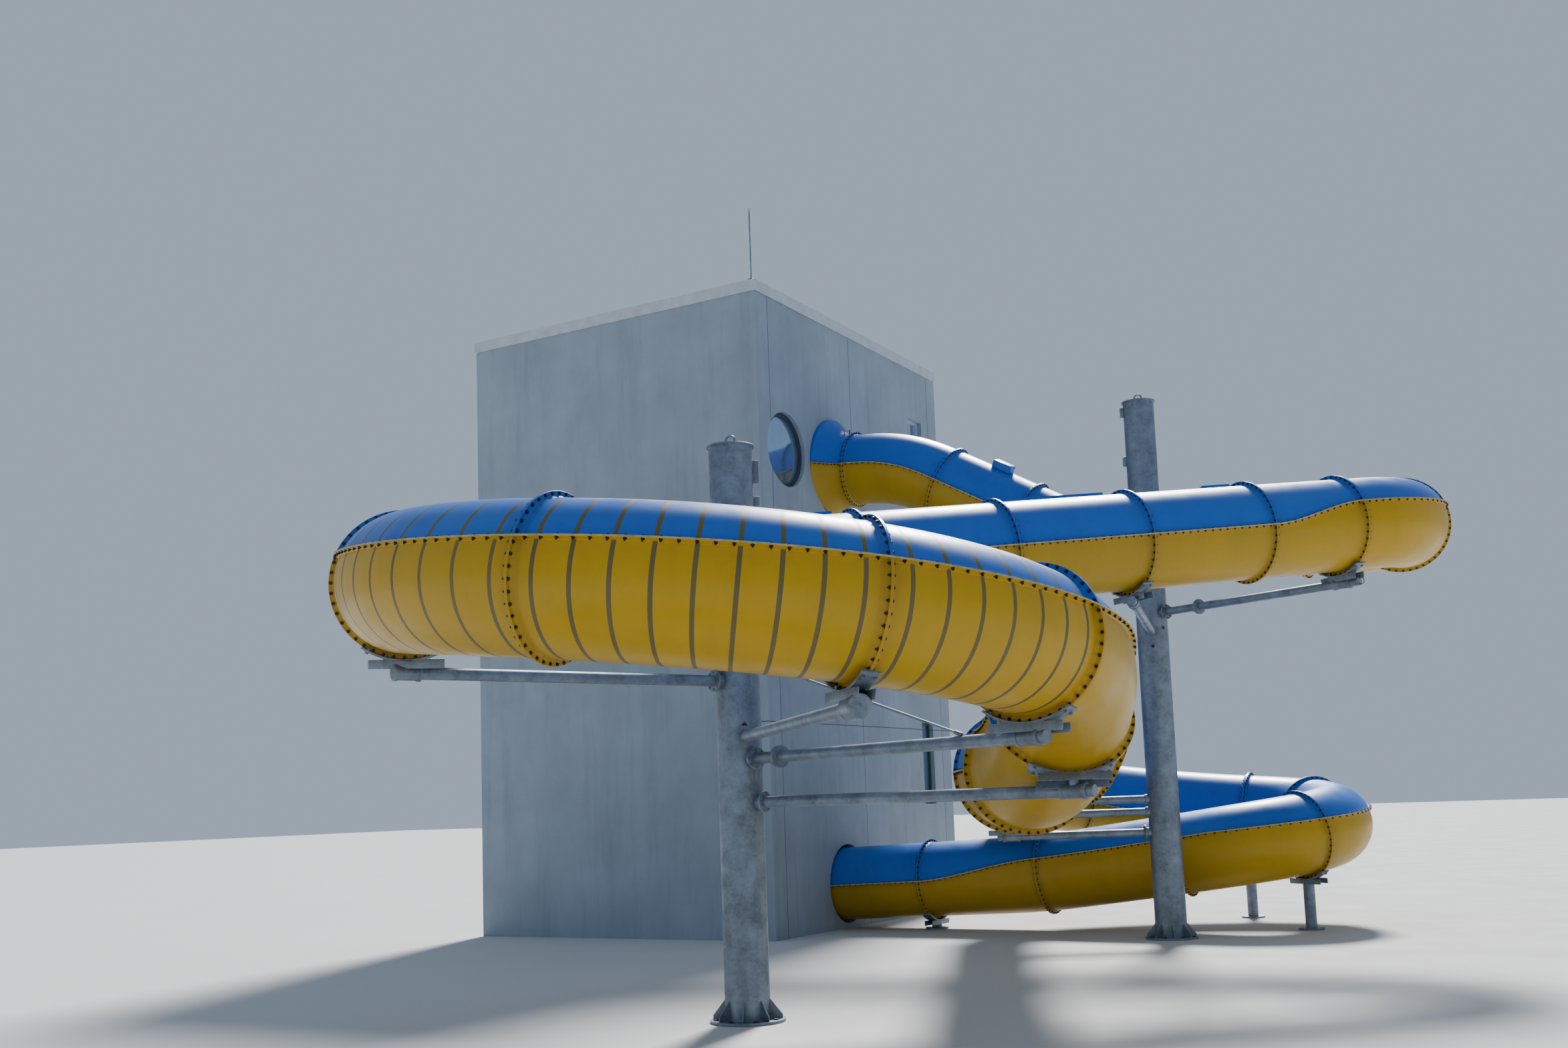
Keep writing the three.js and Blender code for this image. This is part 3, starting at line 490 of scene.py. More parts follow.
def finished_shell(run, bm, side):
    """A half shell with its gelcoat, translucent rings and cut edges."""
    half, colour = ("upper", "blue") if side > 0 else ("lower", "yellow")
    node = f"{run}_{half}"
    finished(f"{node}_shell", bm, [colour, "stripe", "laminate"], [node])


def soil_layer(bm):
    """Vertex layer that tells where dirt gathers."""
    return bm.verts.layers.float.get("soil") or bm.verts.layers.float.new("soil")


def loop_edges(bm, points):
    """A closed loop of new vertices and edges."""
    verts = [bm.verts.new(point) for point in points]
    return verts, [bm.edges.new(pair) for pair in zip(verts, verts[1:] + verts[:1])]


def swept(bm, section, kinds, places, marks, soil):
    """Extrudes a closed section from place to place. Marked steps give their outer faces slot 1."""
    layer = soil_layer(bm)
    verts, edges = loop_edges(bm, [places[0] @ Vector((x, y, 0.0)) for x, y in section])
    bm.faces.new(verts)
    for vert in verts:
        vert[layer] = soil[0]
    kind_of = dict(zip(edges, kinds))
    for index in range(1, len(places)):
        grown = bmesh.ops.extrude_edge_only(bm, edges=edges)["geom"]
        moved = {item for item in grown if isinstance(item, bmesh.types.BMVert)}
        step = places[index] @ places[index - 1].inverted()
        bmesh.ops.transform(bm, matrix=step, verts=list(moved))
        for vert in moved:
            vert[layer] = soil[index]
        edges = [e for e in grown if isinstance(e, bmesh.types.BMEdge) and set(e.verts) <= moved]
        next_kinds = {}
        for face in (item for item in grown if isinstance(item, bmesh.types.BMFace)):
            old = next(edge for edge in face.edges if edge in kind_of)
            new = next(edge for edge in face.edges if set(edge.verts) <= moved)
            kind = kind_of[old]
            next_kinds[new] = kind
            face.material_index = 0
            if kind == "rim":
                face.material_index = 2
            elif kind == "outer" and marks[index]:
                face.material_index = 1
        kind_of = next_kinds
    bmesh.ops.contextual_create(bm, geom=edges)


def spun(bm, place, profile, start=0.0, angle=FULL_TURN, steps=32):
    """Turns a profile of (radius, height) about the local Z of a place."""
    whole = angle == FULL_TURN
    turn = Matrix.Rotation(start, 4, "Z")
    points = [place @ turn @ Vector((radius, 0.0, height)) for radius, height in profile]
    if whole:
        verts = [bm.verts.new(point) for point in points]
        edges = [bm.edges.new(pair) for pair in zip(verts, verts[1:])]
        if profile[0][0] > 0.0:
            edges.append(bm.edges.new((verts[-1], verts[0])))
    else:
        verts, edges = loop_edges(bm, points)
    result = bmesh.ops.spin(
        bm,
        geom=verts + edges,
        cent=place.translation,
        axis=place.to_3x3() @ UP,
        angle=angle,
        steps=steps,
        use_merge=whole,
    )
    if whole:
        bmesh.ops.remove_doubles(bm, verts=bm.verts, dist=MERGE_DISTANCE)
        return
    last = [item for item in result["geom_last"] if isinstance(item, bmesh.types.BMEdge)]
    bmesh.ops.contextual_create(bm, geom=edges)
    bmesh.ops.contextual_create(bm, geom=last)


def bar(bm, start, end, radius, steps=24, edge=0.003):
    """A round bar with softened ends."""
    length = (end - start).length
    rows = [(0, 0), (radius - edge, 0), (radius, edge), (radius, length - edge), (radius - edge, length)]
    spun(bm, axis_place(start, end - start), rows + [(0, length)], steps=steps)


def torus(bm, place, ring_radius, wire_radius):
    """A wire ring about the local Z of a place."""
    profile = []
    for index in range(WIRE_SIDES):
        angle = FULL_TURN * index / WIRE_SIDES
        profile.append((ring_radius + wire_radius * math.cos(angle), wire_radius * math.sin(angle)))
    spun(bm, place, profile, steps=WIRE_STEPS)


def soft_box(bm, place, size, edge, segments=2):
    """A box with bevelled edges, centred on a place."""
    cube = bmesh.ops.create_cube(bm, size=1.0, matrix=place @ Matrix.Diagonal((*size, 1.0)))
    edges = list(dict.fromkeys(edge for vert in cube["verts"] for edge in vert.link_edges))
    bmesh.ops.bevel(
        bm, geom=edges, offset=edge, affect="EDGES", segments=segments, profile=0.5, material=-1
    )


def cut_away(bm, point, normal):
    """Cuts away what lies behind a plane and closes the cut."""
    geometry = list(bm.verts) + list(bm.edges) + list(bm.faces)
    bmesh.ops.bisect_plane(bm, geom=geometry, plane_co=point, plane_no=normal, clear_inner=True)
    bmesh.ops.holes_fill(bm, edges=[edge for edge in bm.edges if edge.is_boundary], sides=0)


def add_bolts(bm, places, grip, head=0.0115, washer=0.016):
    """Copies one bolt to each place: head and washer above the grip, nut and thread end below it."""
    template = bmesh.new()
    middle = 0.5 * grip
    # Sides, radius, depth and height of the middle of each of its parts
    parts = [
        (8, washer, 0.003, middle + 0.0015),
        (6, head, 0.01, middle + 0.008),
        (8, washer, 0.003, -middle - 0.0015),
        (6, head, 0.011, -middle - 0.0085),
        (6, 0.6 * head, 0.008, -middle - 0.018),
    ]
    for sides, radius, depth, height in parts:
        bmesh.ops.create_cone(
            template,
            cap_ends=True,
            segments=sides,
            radius1=radius,
            radius2=radius,
            depth=depth,
            matrix=moved_by(0.0, 0.0, height),
        )
    scratch = bpy.data.meshes.new("bolt_copy")
    for place in places:
        template.to_mesh(scratch)
        scratch.transform(place)
        bm.from_mesh(scratch)
    template.free()
    bpy.data.meshes.remove(scratch)


def bolt_ring(place, radius, count, offset=0.5):
    """Places on a circle about the local Z of a place."""
    places = []
    for index in range(count):
        turn = Matrix.Rotation(FULL_TURN * (index + offset) / count, 4, "Z")
        places.append(place @ turn @ moved_by(radius, 0.0, 0.0))
    return places


class NodeCanvas:
    """Small helper that builds a node material on Object coordinates."""

    def __init__(self, name, metallic=0.0, specular=0.5, coat=0.0, coat_roughness=0.1):
        self.material = bpy.data.materials.new(name)
        self.material.use_nodes = True
        self.nodes = self.material.node_tree.nodes
        self.links = self.material.node_tree.links
        self.shader = self.nodes["Principled BSDF"]
        self.shader.inputs["Metallic"].default_value = metallic
        self.shader.inputs["Specular IOR Level"].default_value = specular
        self.shader.inputs["Coat Weight"].default_value = coat
        self.shader.inputs["Coat Roughness"].default_value = coat_roughness
        self.object_coordinates = self.add("ShaderNodeTexCoord").outputs["Object"]

    def add(self, kind, **values):
        """A new node with its settings."""
        node = self.nodes.new(kind)
        for key, value in values.items():
            setattr(node, key, value)
        return node

    def feed(self, socket, value):
        """Links a value to a socket, or sets it there where it is a constant."""
        if isinstance(value, bpy.types.NodeSocket):
            self.links.new(value, socket)
        else:
            socket.default_value = value

    def noise(self, scale, detail=4.0, roughness=0.55, stretch=(1.0, 1.0, 1.0)):
        """Noise on Object coordinates, stretched along the axes."""
        mapping = self.add("ShaderNodeMapping")
        mapping.inputs["Scale"].default_value = stretch
        self.links.new(self.object_coordinates, mapping.inputs["Vector"])
        node = self.add("ShaderNodeTexNoise")
        node.inputs["Scale"].default_value = scale
        node.inputs["Detail"].default_value = detail
        node.inputs["Roughness"].default_value = roughness
        self.links.new(mapping.outputs["Vector"], node.inputs["Vector"])
        return node.outputs["Fac"]

    def ranged(self, value, low, high, to_low=0.0, to_high=1.0):
        """A value stretched from one range to another."""
        node = self.add("ShaderNodeMapRange")
        self.links.new(value, node.inputs["Value"])
        for key, number in zip(("From Min", "From Max", "To Min", "To Max"), (low, high, to_low, to_high)):
            node.inputs[key].default_value = number
        return node.outputs["Result"]

    def math(self, operation, first, second):
        """One sum of two values."""
        node = self.add("ShaderNodeMath", operation=operation)
        self.feed(node.inputs[0], first)
        self.feed(node.inputs[1], second)
        return node.outputs["Value"]

    def mixed(self, factor, first, second):
        """A colour between two others."""
        node = self.add("ShaderNodeMix", data_type="RGBA")
        self.links.new(factor, node.inputs["Factor"])
        for socket, value in ((node.inputs[6], first), (node.inputs[7], second)):
            self.feed(socket, value if isinstance(value, bpy.types.NodeSocket) else (*value, 1.0))
        return node.outputs[2]

    def overlaid(self, base, mask, share, colour):
        """The base with a share of another colour where the mask shows."""
        return self.mixed(self.math("MULTIPLY", mask, share), base, colour)

    def finish(self, colour, rough, bump, distance, strength):
        """Feeds the shader: colour, roughness as scale, detail, low and high, and the bump."""
        scale, detail, low, high = rough
        self.links.new(colour, self.shader.inputs["Base Color"])
        roughness = self.ranged(self.noise(scale, detail), 0.3, 0.7, low, high)
        self.links.new(roughness, self.shader.inputs["Roughness"])
        node = self.add("ShaderNodeBump")
        node.inputs["Distance"].default_value = distance
        node.inputs["Strength"].default_value = strength
        self.links.new(bump, node.inputs["Height"])
        self.links.new(node.outputs["Normal"], self.shader.inputs["Normal"])
        return self.material


def shade(colour, factor):
    """The colour made darker or lighter."""
    return tuple(min(1.0, channel * factor) for channel in colour)


def blend_of(first, second, share):
    """A colour between two others."""
    return tuple(a + (b - a) * share for a, b in zip(first, second))


def gelcoat(name, colour, faded, dirt, dirt_share, roughness=0.36):
    """Glossy gelcoat, a little faded in patches, with dirt along the flanges."""
    canvas = NodeCanvas(name, specular=0.22, coat=0.06, coat_roughness=0.2)
    patches = canvas.ranged(canvas.noise(0.55, 5.0), 0.35, 0.68)
    specks = canvas.ranged(canvas.noise(9.0, 6.0, 0.7), 0.52, 0.72)
    streaks = canvas.ranged(canvas.noise(2.6, 4.0, 0.6, (1.0, 1.0, 0.22)), 0.48, 0.75)
    base = canvas.mixed(patches, colour, faded)
    base = canvas.overlaid(base, streaks, 0.3, shade(colour, 0.72))
    base = canvas.overlaid(base, specks, 0.16, shade(colour, 0.55))
    soil = canvas.add("ShaderNodeAttribute", attribute_name="soil").outputs["Fac"]
    grime = canvas.ranged(canvas.noise(5.0, 5.0, 0.65), 0.3, 0.7, 0.35, 1.0)
    base = canvas.overlaid(base, canvas.math("MULTIPLY", soil, grime), dirt_share, dirt)
    rough = (3.0, 4.0, roughness - 0.05, roughness + 0.09)
    return canvas.finish(base, rough, canvas.noise(7.0, 3.0), 0.004, 0.12)


def rough_coat(name, colour, scale, roughness, contrast=0.25, metallic=0.0):
    """A plain matt finish with a fine grain."""
    canvas = NodeCanvas(name, metallic=metallic)
    patches = canvas.ranged(canvas.noise(scale, 5.0), 0.35, 0.65)
    base = canvas.mixed(patches, shade(colour, 1.0 - contrast), shade(colour, 1.0 + 0.5 * contrast))
    rough = (2.0 * scale, 4.0, roughness - 0.08, roughness + 0.08)
    return canvas.finish(base, rough, canvas.noise(6.0 * scale, 6.0, 0.7), 0.001, 0.35)


def zinc_coat(name, colour):
    """Hot-dip galvanised steel with spangle, cloudy patches and runs."""
    canvas = NodeCanvas(name, metallic=0.55)
    cells = canvas.add("ShaderNodeTexVoronoi")
    cells.inputs["Scale"].default_value = 38.0
    canvas.links.new(canvas.object_coordinates, cells.inputs["Vector"])
    spangle = canvas.add("ShaderNodeRGBToBW")
    canvas.links.new(cells.outputs["Color"], spangle.inputs["Color"])
    clouds = canvas.ranged(canvas.noise(4.2, 7.0, 0.7), 0.36, 0.64)
    runs = canvas.ranged(canvas.noise(7.0, 4.0, 0.6, (1.0, 1.0, 0.14)), 0.5, 0.75)
    base = canvas.mixed(clouds, shade(colour, 0.6), shade(colour, 1.25))
    base = canvas.overlaid(base, spangle.outputs["Val"], 0.35, shade(colour, 1.45))
    base = canvas.overlaid(base, runs, 0.35, shade(colour, 0.5))
    return canvas.finish(base, (5.0, 5.0, 0.38, 0.6), canvas.noise(30.0, 5.0, 0.7), 0.002, 0.2)


def line_at(canvas, coordinate, position):
    """A value of 1 where a panel joint runs across one coordinate."""
    away = canvas.math("ABSOLUTE", canvas.math("SUBTRACT", coordinate, position), 0.0)
    return canvas.math("LESS_THAN", away, JOINT_HALF_WIDTH)


def precast(name, colour, with_joints):
    """Precast concrete with faint board marks, rain streaks and, on the right face, panel joints."""
    canvas = NodeCanvas(name, specular=0.3)
    clouds = canvas.ranged(canvas.noise(0.7, 6.0, 0.6), 0.34, 0.68)
    boards = canvas.ranged(canvas.noise(1.6, 3.0, 0.5, (1.0, 2.4, 0.05)), 0.35, 0.7)
    streaks = canvas.ranged(canvas.noise(3.4, 5.0, 0.65, (1.0, 1.6, 0.1)), 0.52, 0.74)
    pores = canvas.ranged(canvas.noise(38.0, 4.0, 0.7), 0.62, 0.72)
    base = canvas.mixed(clouds, shade(colour, 0.86), shade(colour, 1.08))
    base = canvas.overlaid(base, boards, 0.35, shade(colour, 0.8))
    base = canvas.overlaid(base, streaks, 0.4, shade(colour, 0.6))
    base = canvas.overlaid(base, pores, 0.3, shade(colour, 0.45))
    height = canvas.noise(24.0, 6.0, 0.7)
    if with_joints:
        parts = canvas.add("ShaderNodeSeparateXYZ")
        canvas.links.new(canvas.object_coordinates, parts.inputs["Vector"])
        lines = line_at(canvas, parts.outputs["Z"], LEVEL_JOINT_Z + SHIFT.z)
        for joint_y in PANEL_JOINTS_Y:
            upright = line_at(canvas, parts.outputs["Y"], joint_y + SHIFT.y)
            lines = canvas.math("MAXIMUM", lines, upright)
        base = canvas.mixed(lines, base, shade(colour, 0.25))
        height = canvas.math("SUBTRACT", height, canvas.math("MULTIPLY", lines, 3.0))
    return canvas.finish(base, (6.0, 4.0, 0.72, 0.92), height, 0.004, 0.4)


def coated_glass(name, colour):
    """Dark coated pane that mirrors the sky."""
    canvas = NodeCanvas(name, metallic=0.75, specular=0.6)
    clouds = canvas.ranged(canvas.noise(1.1, 4.0), 0.3, 0.7)
    base = canvas.mixed(clouds, shade(colour, 0.82), shade(colour, 1.15))
    return canvas.finish(base, (5.0, 4.0, 0.03, 0.09), canvas.noise(2.0, 2.0), 0.002, 0.05)


def blue_gelcoat(tube):
    """Blue upper shells."""
    faded = blend_of(tube.blue, tube.faded_blue, 0.4)
    return gelcoat("blue_gelcoat", tube.blue, faded, (0.03, 0.05, 0.1), 0.55)


def yellow_gelcoat(tube):
    """Yellow lower shells."""
    faded = blend_of(tube.yellow, tube.faded_yellow, 0.6)
    return gelcoat("yellow_gelcoat", tube.yellow, faded, (0.2, 0.1, 0.03), 0.5)


def translucent_ring(tube):
    """Rings in the shells that let light in."""
    return gelcoat("translucent_ring", tube.stripe, shade(tube.stripe, 1.25), (0.1, 0.09, 0.06), 0.3, 0.45)


# Each finish with its settings and maker
MAKERS = {
    "blue": ("slide_tube", blue_gelcoat),
    "yellow": ("slide_tube", yellow_gelcoat),
    "stripe": ("slide_tube", translucent_ring),
    "laminate": ("slide_tube", lambda tube: rough_coat("laminate_edge", tube.laminate, 14.0, 0.55)),
    "bolt": ("slide_tube", lambda tube: rough_coat("dark_bolt_steel", tube.bolt, 30.0, 0.5, 0.4, 0.5)),
    "zinc": ("slide_steel", lambda steel: zinc_coat("galvanised_steel", steel.galvanised)),
    "concrete": ("slide_tower", lambda tower: precast("precast_concrete", tower.concrete, True)),
    "plain_concrete": ("slide_tower", lambda tower: precast("plain_concrete", tower.concrete, False)),
    "aluminium": (
        "slide_tower",
        lambda tower: rough_coat("aluminium_sheet", tower.aluminium, 5.0, 0.42, 0.1, 0.6),
    ),
    "dark_frame": (
        "slide_tower",
        lambda tower: rough_coat("dark_painted_metal", tower.dark_frame, 9.0, 0.45),
    ),
    "green_frame": (
        "slide_tower",
        lambda tower: rough_coat("green_painted_metal", tower.green_frame, 9.0, 0.45),
    ),
    "glass": ("slide_tower", lambda tower: coated_glass("coated_glass", tower.glass)),
}
MATERIALS = {}


def material(name):
    """Makes each finish once, when it is first asked for."""
    if name not in MATERIALS:
        settings, maker = MAKERS[name]
        MATERIALS[name] = maker(getattr(bpy.context.scene, settings))
    return MATERIALS[name]


def run_distances(tube, stations):
    """Distances of the sections of a run, with the translucent rings marked."""
    distances = {stations[0] + GAP / 2: False, stations[-1] - GAP / 2: False}
    for start, end in zip(stations, stations[1:]):
        count = math.ceil((end - start) / tube.step)
        for index in range(1 if start == stations[0] else 0, count):
            distances[start + (end - start) * index / count] = False
        for offset in SOIL_OFFSETS:
            distances[start + offset] = False
            distances[end - offset] = False
        if start in STRIPES:
            pitch = (end - start - 2 * STRIPE_MARGIN) / (STRIPES[start] - 1)
            for index in range(STRIPES[start]):
                low = start + STRIPE_MARGIN + pitch * index - tube.stripe_width / 2
                high = low + tube.stripe_width
                inside = [d for d in distances if low - SHORTEST_STEP < d < high + SHORTEST_STEP]
                for distance in inside:
                    del distances[distance]
                distances[low] = False
                distances[high] = True
    rows = sorted(distances.items())
    kept = [rows[0]]
    for row in rows[1:]:
        if row[1] or row[0] - kept[-1][0] > SHORTEST_STEP:
            kept.append(row)
    return kept


def half_section(tube, side):
    """Closed section of a half shell with its two seam flanges, and the kind of each edge."""
    seam = GAP / 2
    back = seam + tube.seam_thickness
    outer = tube.radius
    inner = tube.radius - tube.wall
    rim = tube.flange_radius
    foot = math.asin((back + SEAM_FOOT) / outer)
    middle, rise = SEAM_MIDDLE
    points = [
        (inner, seam, "flat"),
        (rim, seam, "rim"),
        (rim, back, "flat"),
        (outer + SEAM_REACH, back, "outer"),
        (outer + middle, back + rise, "outer"),
    ]
    for index in range(tube.segments + 1):
        angle = foot + (math.pi - 2 * foot) * index / tube.segments
        points.append((outer * math.cos(angle), outer * math.sin(angle), "outer"))
    points += [
        (-outer - middle, back + rise, "outer"),
        (-outer - SEAM_REACH, back, "flat"),
        (-rim, back, "rim"),
        (-rim, seam, "flat"),
        (-inner, seam, "inner"),
    ]
    for index in range(1, tube.segments):
        angle = math.pi * index / tube.segments
        points.append((-inner * math.cos(angle), inner * math.sin(angle), "inner"))
    return [(x, side * y) for x, y, _ in points], [kind for _, _, kind in points]


def ring_profile(tube, low, high, soft_low, soft_high):
    """Section of a ring flange as (radius, distance along), with moulded roots on the soft sides."""
    bore = tube.radius - RING_BORE_INSET
    rim = tube.flange_radius
    rows = [(bore, low)]
    if soft_low:
        rows = [(bore, low - RING_ROOT_RUN)] + [(radius, low - away) for radius, away in RING_ROOT]
    rows += [(rim - RING_EDGE, low), (rim, low + RING_EDGE)]
    rows += [(rim, high - RING_EDGE), (rim - RING_EDGE, high)]
    if soft_high:
        rows += [(radius, high + away) for radius, away in reversed(RING_ROOT)]
        high += RING_ROOT_RUN
    return rows + [(bore, high)]


def add_ring_half(bm, tube, place, side, profile):
    """Half a ring flange, spun from one seam to the other."""
    layer = soil_layer(bm)
    known = set(bm.verts)
    start = GAP / 2 / tube.radius
    spun(bm, place, profile, side * start, side * (math.pi - 2 * start), tube.segments)
    for vert in set(bm.verts) - known:
        vert[layer] = RING_SOIL


def ring_rows(tube, stations, last_open):
    """Ring flanges of a run: distance, low and high face, soft sides."""
    full = tube.ring_thickness
    rows = [(stations[0], 0.0, full, False, True)]
    for station in stations[1:-1]:
        rows.append((station, -full / 2, full / 2, True, True))
    if not last_open:
        rows.append((stations[-1], -full / 2, -GAP / 2, True, False))
    return rows


class SLIDE_OT_tube_shells(bpy.types.Operator):
    """Half shells of every run, with seam flanges, ring flanges and translucent rings"""

    bl_idname = "slide.tube_shells"
    bl_label = "Tube shells"

    def execute(self, context):
        tube = context.scene.slide_tube
        for name, (_, stations) in RUNS.items():
            rows = run_distances(tube, stations)
            places = [tube_place(distance, bank_at(name, distance)) for distance, _ in rows]
            marks = [marked for _, marked in rows]
            soil = []
            for distance, _ in rows:
                away = min(abs(distance - station) for station in stations)
                soil.append(RING_SOIL * math.exp(-((away / SOIL_REACH) ** 2)))
            for side in (1, -1):
                bm = bmesh.new()
                section, kinds = half_section(tube, side)
                swept(bm, section, kinds, places, marks, soil)
                for station, *faces in ring_rows(tube, stations, name == "outlet_run"):
                    place = tube_place(station, bank_at(name, station))
                    add_ring_half(bm, tube, place, side, ring_profile(tube, *faces))
                finished_shell(name, bm, side)
        return {"FINISHED"}


def seam_bolt_places(tube, run, start, end):
    """Bolts of both seams between two ring flanges."""
    span = end - start - 2 * SEAM_BOLT_MARGIN
    count = max(1, round(span / tube.bolt_pitch))
    places = []
    for index in range(count + 1):
        distance = start + SEAM_BOLT_MARGIN + span * index / count
        place = tube_place(distance, bank_at(run, distance))
        for hand in (-1, 1):
            places.append(place @ moved_by(hand * tube.bolt_circle, 0.0, 0.0) @ SEAM_TURN)
    return places


class SLIDE_OT_tube_bolts(bpy.types.Operator):
    """Bolts and washers of the seams and ring flanges"""

    bl_idname = "slide.tube_bolts"
    bl_label = "Tube bolts"

    def execute(self, context):
        tube = context.scene.slide_tube
        full = tube.ring_thickness
        for name, (_, stations) in RUNS.items():
            bm = bmesh.new()
            for start, end in zip(stations, stations[1:]):
                add_bolts(bm, seam_bolt_places(tube, name, start, end), 2 * tube.seam_thickness + GAP)
                place = tube_place(start, bank_at(name, start))
                grip = full
                if start == stations[0]:
                    # Here the last ring of the run before adds half a thickness
                    place = place @ moved_by(0.0, 0.0, full / 4)
                    grip = 1.5 * full
                add_bolts(bm, bolt_ring(place, tube.bolt_circle, tube.ring_bolts), grip)
            finished_fittings(f"{name}_bolts", bm)
        return {"FINISHED"}


def collar_outline(tube):
    """Outer radius of the flare at each distance, from behind the face to the first ring."""
    rows = [(COLLAR_MOUTH, -COLLAR_BEHIND)]
    end = COLLAR_LENGTH - GAP / 2
    for index in range(COLLAR_ROWS + 1):
        share = index / COLLAR_ROWS
        rows.append((tube.radius + (COLLAR_MOUTH - tube.radius) * (1 - share) ** COLLAR_POWER, share * end))
    return rows


def collar_plates(tube, place, outer, side):
    """The two seam flanges of half the collar."""
    plates = bmesh.new()
    rise = place.to_3x3() @ Vector((0.0, side * tube.seam_thickness, 0.0))
    outline = [(radius + COLLAR_FLANGE, along) for radius, along in outer[1:]]
    outline += [(radius - COLLAR_WALL / 2, along) for radius, along in reversed(outer[1:])]
    for hand in (-1, 1):
        points = [place @ Vector((hand * radius, side * GAP / 2, along)) for radius, along in outline]
        plate = plates.faces.new([plates.verts.new(point) for point in points])
        grown = bmesh.ops.extrude_face_region(plates, geom=[plate])["geom"]
        verts = [item for item in grown if isinstance(item, bmesh.types.BMVert)]
        bmesh.ops.translate(plates, vec=rise, verts=verts)
    return plates


class SLIDE_OT_start_collar(bpy.types.Operator):
    """Flared collar between the tower's face and the first tube section"""

    bl_idname = "slide.start_collar"
    bl_label = "Start collar"

    def execute(self, context):
        tube = context.scene.slide_tube
        outer = collar_outline(tube)
        inner = [(radius - COLLAR_WALL, along) for radius, along in reversed(outer)]
        place = tube_place(0.0)
        start = GAP / 2 / tube.radius
        face = Vector((FACE_X + GAP, 0.0, 0.0)) + SHIFT
        for side in (1, -1):
            bm = bmesh.new()
            spun(bm, place, outer + inner, side * start, side * (math.pi - 2 * start), tube.segments)
            plates = collar_plates(tube, place, outer, side)
            for shape in (bm, plates):
                bmesh.ops.recalc_face_normals(shape, faces=shape.faces)
                cut_away(shape, face, (1.0, 0.0, 0.0))
            scratch = bpy.data.meshes.new("collar_plates")
            plates.to_mesh(scratch)
            plates.free()
            bm.from_mesh(scratch)
            bpy.data.meshes.remove(scratch)
            finished_shell("start_collar", bm, side)
        bm = bmesh.new()
        places = []
        for radius, along in outer[3:-2:2]:
            for hand in (-1, 1):
                places.append(place @ moved_by(hand * (radius + COLLAR_BOLT_LIFT), 0.0, along) @ SEAM_TURN)
        add_bolts(bm, places, 2 * tube.seam_thickness + GAP)
        finished_fittings("start_collar_bolts", bm)
        return {"FINISHED"}


class SLIDE_OT_crown_fittings(bpy.types.Operator):
    """Raised ribs, the small box and the handle on the crown of the tube"""

    bl_idname = "slide.crown_fittings"
    bl_label = "Crown fittings"

    def execute(self, context):
        tube = context.scene.slide_tube
        turn = turned(CROWN_ANGLE)
        bm = bmesh.new()
        for start, end in CROWN_RIBS:
            place = tube_place((start + end) / 2) @ turn @ moved_by(0.0, tube.radius + RIB_LIFT, 0.0)
            soft_box(bm, place, (RIB_WIDTH, RIB_HEIGHT, end - start), 0.008)
        finished("crown_ribs", bm, ["blue"])
        bm = bmesh.new()
        lift = moved_by(0.0, tube.radius + BOX_SIZE[1] / 2 - BOX_SINK, 0.0)
        soft_box(bm, tube_place(BOX_STATION) @ turn @ lift, BOX_SIZE, 0.012, 3)
        finished("crown_box", bm, ["blue"])
        bm = bmesh.new()
        skin = next(radius for radius, along in collar_outline(tube) if along >= HANDLE_DISTANCE)
        place = tube_place(HANDLE_DISTANCE)
        tops = []
        for hand in (-1, 1):
            out = outward(math.radians(90 + CROWN_ANGLE + hand * HANDLE_HALF_ANGLE))
            tops.append(place @ (out * (skin + HANDLE_HEIGHT)))
            bar(bm, place @ (out * (skin - HANDLE_SINK)), tops[-1], HANDLE_WIRE, 12, 0.001)
        grip = (tops[1] - tops[0]).normalized() * HANDLE_END
        bar(bm, tops[0] - grip, tops[1] + grip, HANDLE_WIRE, 12, 0.001)
        finished_fittings("collar_handle", bm)
        return {"FINISHED"}


def column_profile(radius, top):
    """Outline of a column from the base plate to the cap, as (radius, height)."""
    under = top - COLUMN_CAP_THICKNESS
    return [
        (0.0, 0.0),
        (BASE_RADIUS - 0.002, 0.0),
        (BASE_RADIUS, 0.002),
        (BASE_RADIUS, BASE_THICKNESS - 0.003),
        (BASE_RADIUS - 0.003, BASE_THICKNESS),
        (radius + WELD, BASE_THICKNESS),
        (radius, BASE_THICKNESS + WELD),
        (radius, under - 0.01),
        (radius + 0.01, under),
        (COLUMN_CAP_RADIUS - 0.002, under),
        (COLUMN_CAP_RADIUS, under + 0.002),
        (COLUMN_CAP_RADIUS, top - 0.003),
        (COLUMN_CAP_RADIUS - 0.003, top),
        (0.0, top),
    ]


def add_gussets(bm, foot, radius):
    """Webs with a cut corner between the base plate and the pipe."""
    depth, _, rise = GUSSET_SIZE
    web = Matrix.Diagonal((*GUSSET_SIZE, 1.0))
    out = moved_by(radius + GUSSET_OUT, 0.0, BASE_THICKNESS + rise / 2)
    for index in range(GUSSETS):
        turn = turned(360 * (index + 0.5) / GUSSETS)
        cube = bmesh.ops.create_cube(bm, size=1.0, matrix=foot @ turn @ out @ web)
        tip = foot @ turn @ Vector((radius + GUSSET_OUT + depth / 2, 0.0, BASE_THICKNESS + rise))
        for vert in cube["verts"]:
            if (vert.co - tip).length < GUSSET_CORNER:
                vert.co.z -= GUSSET_CUT


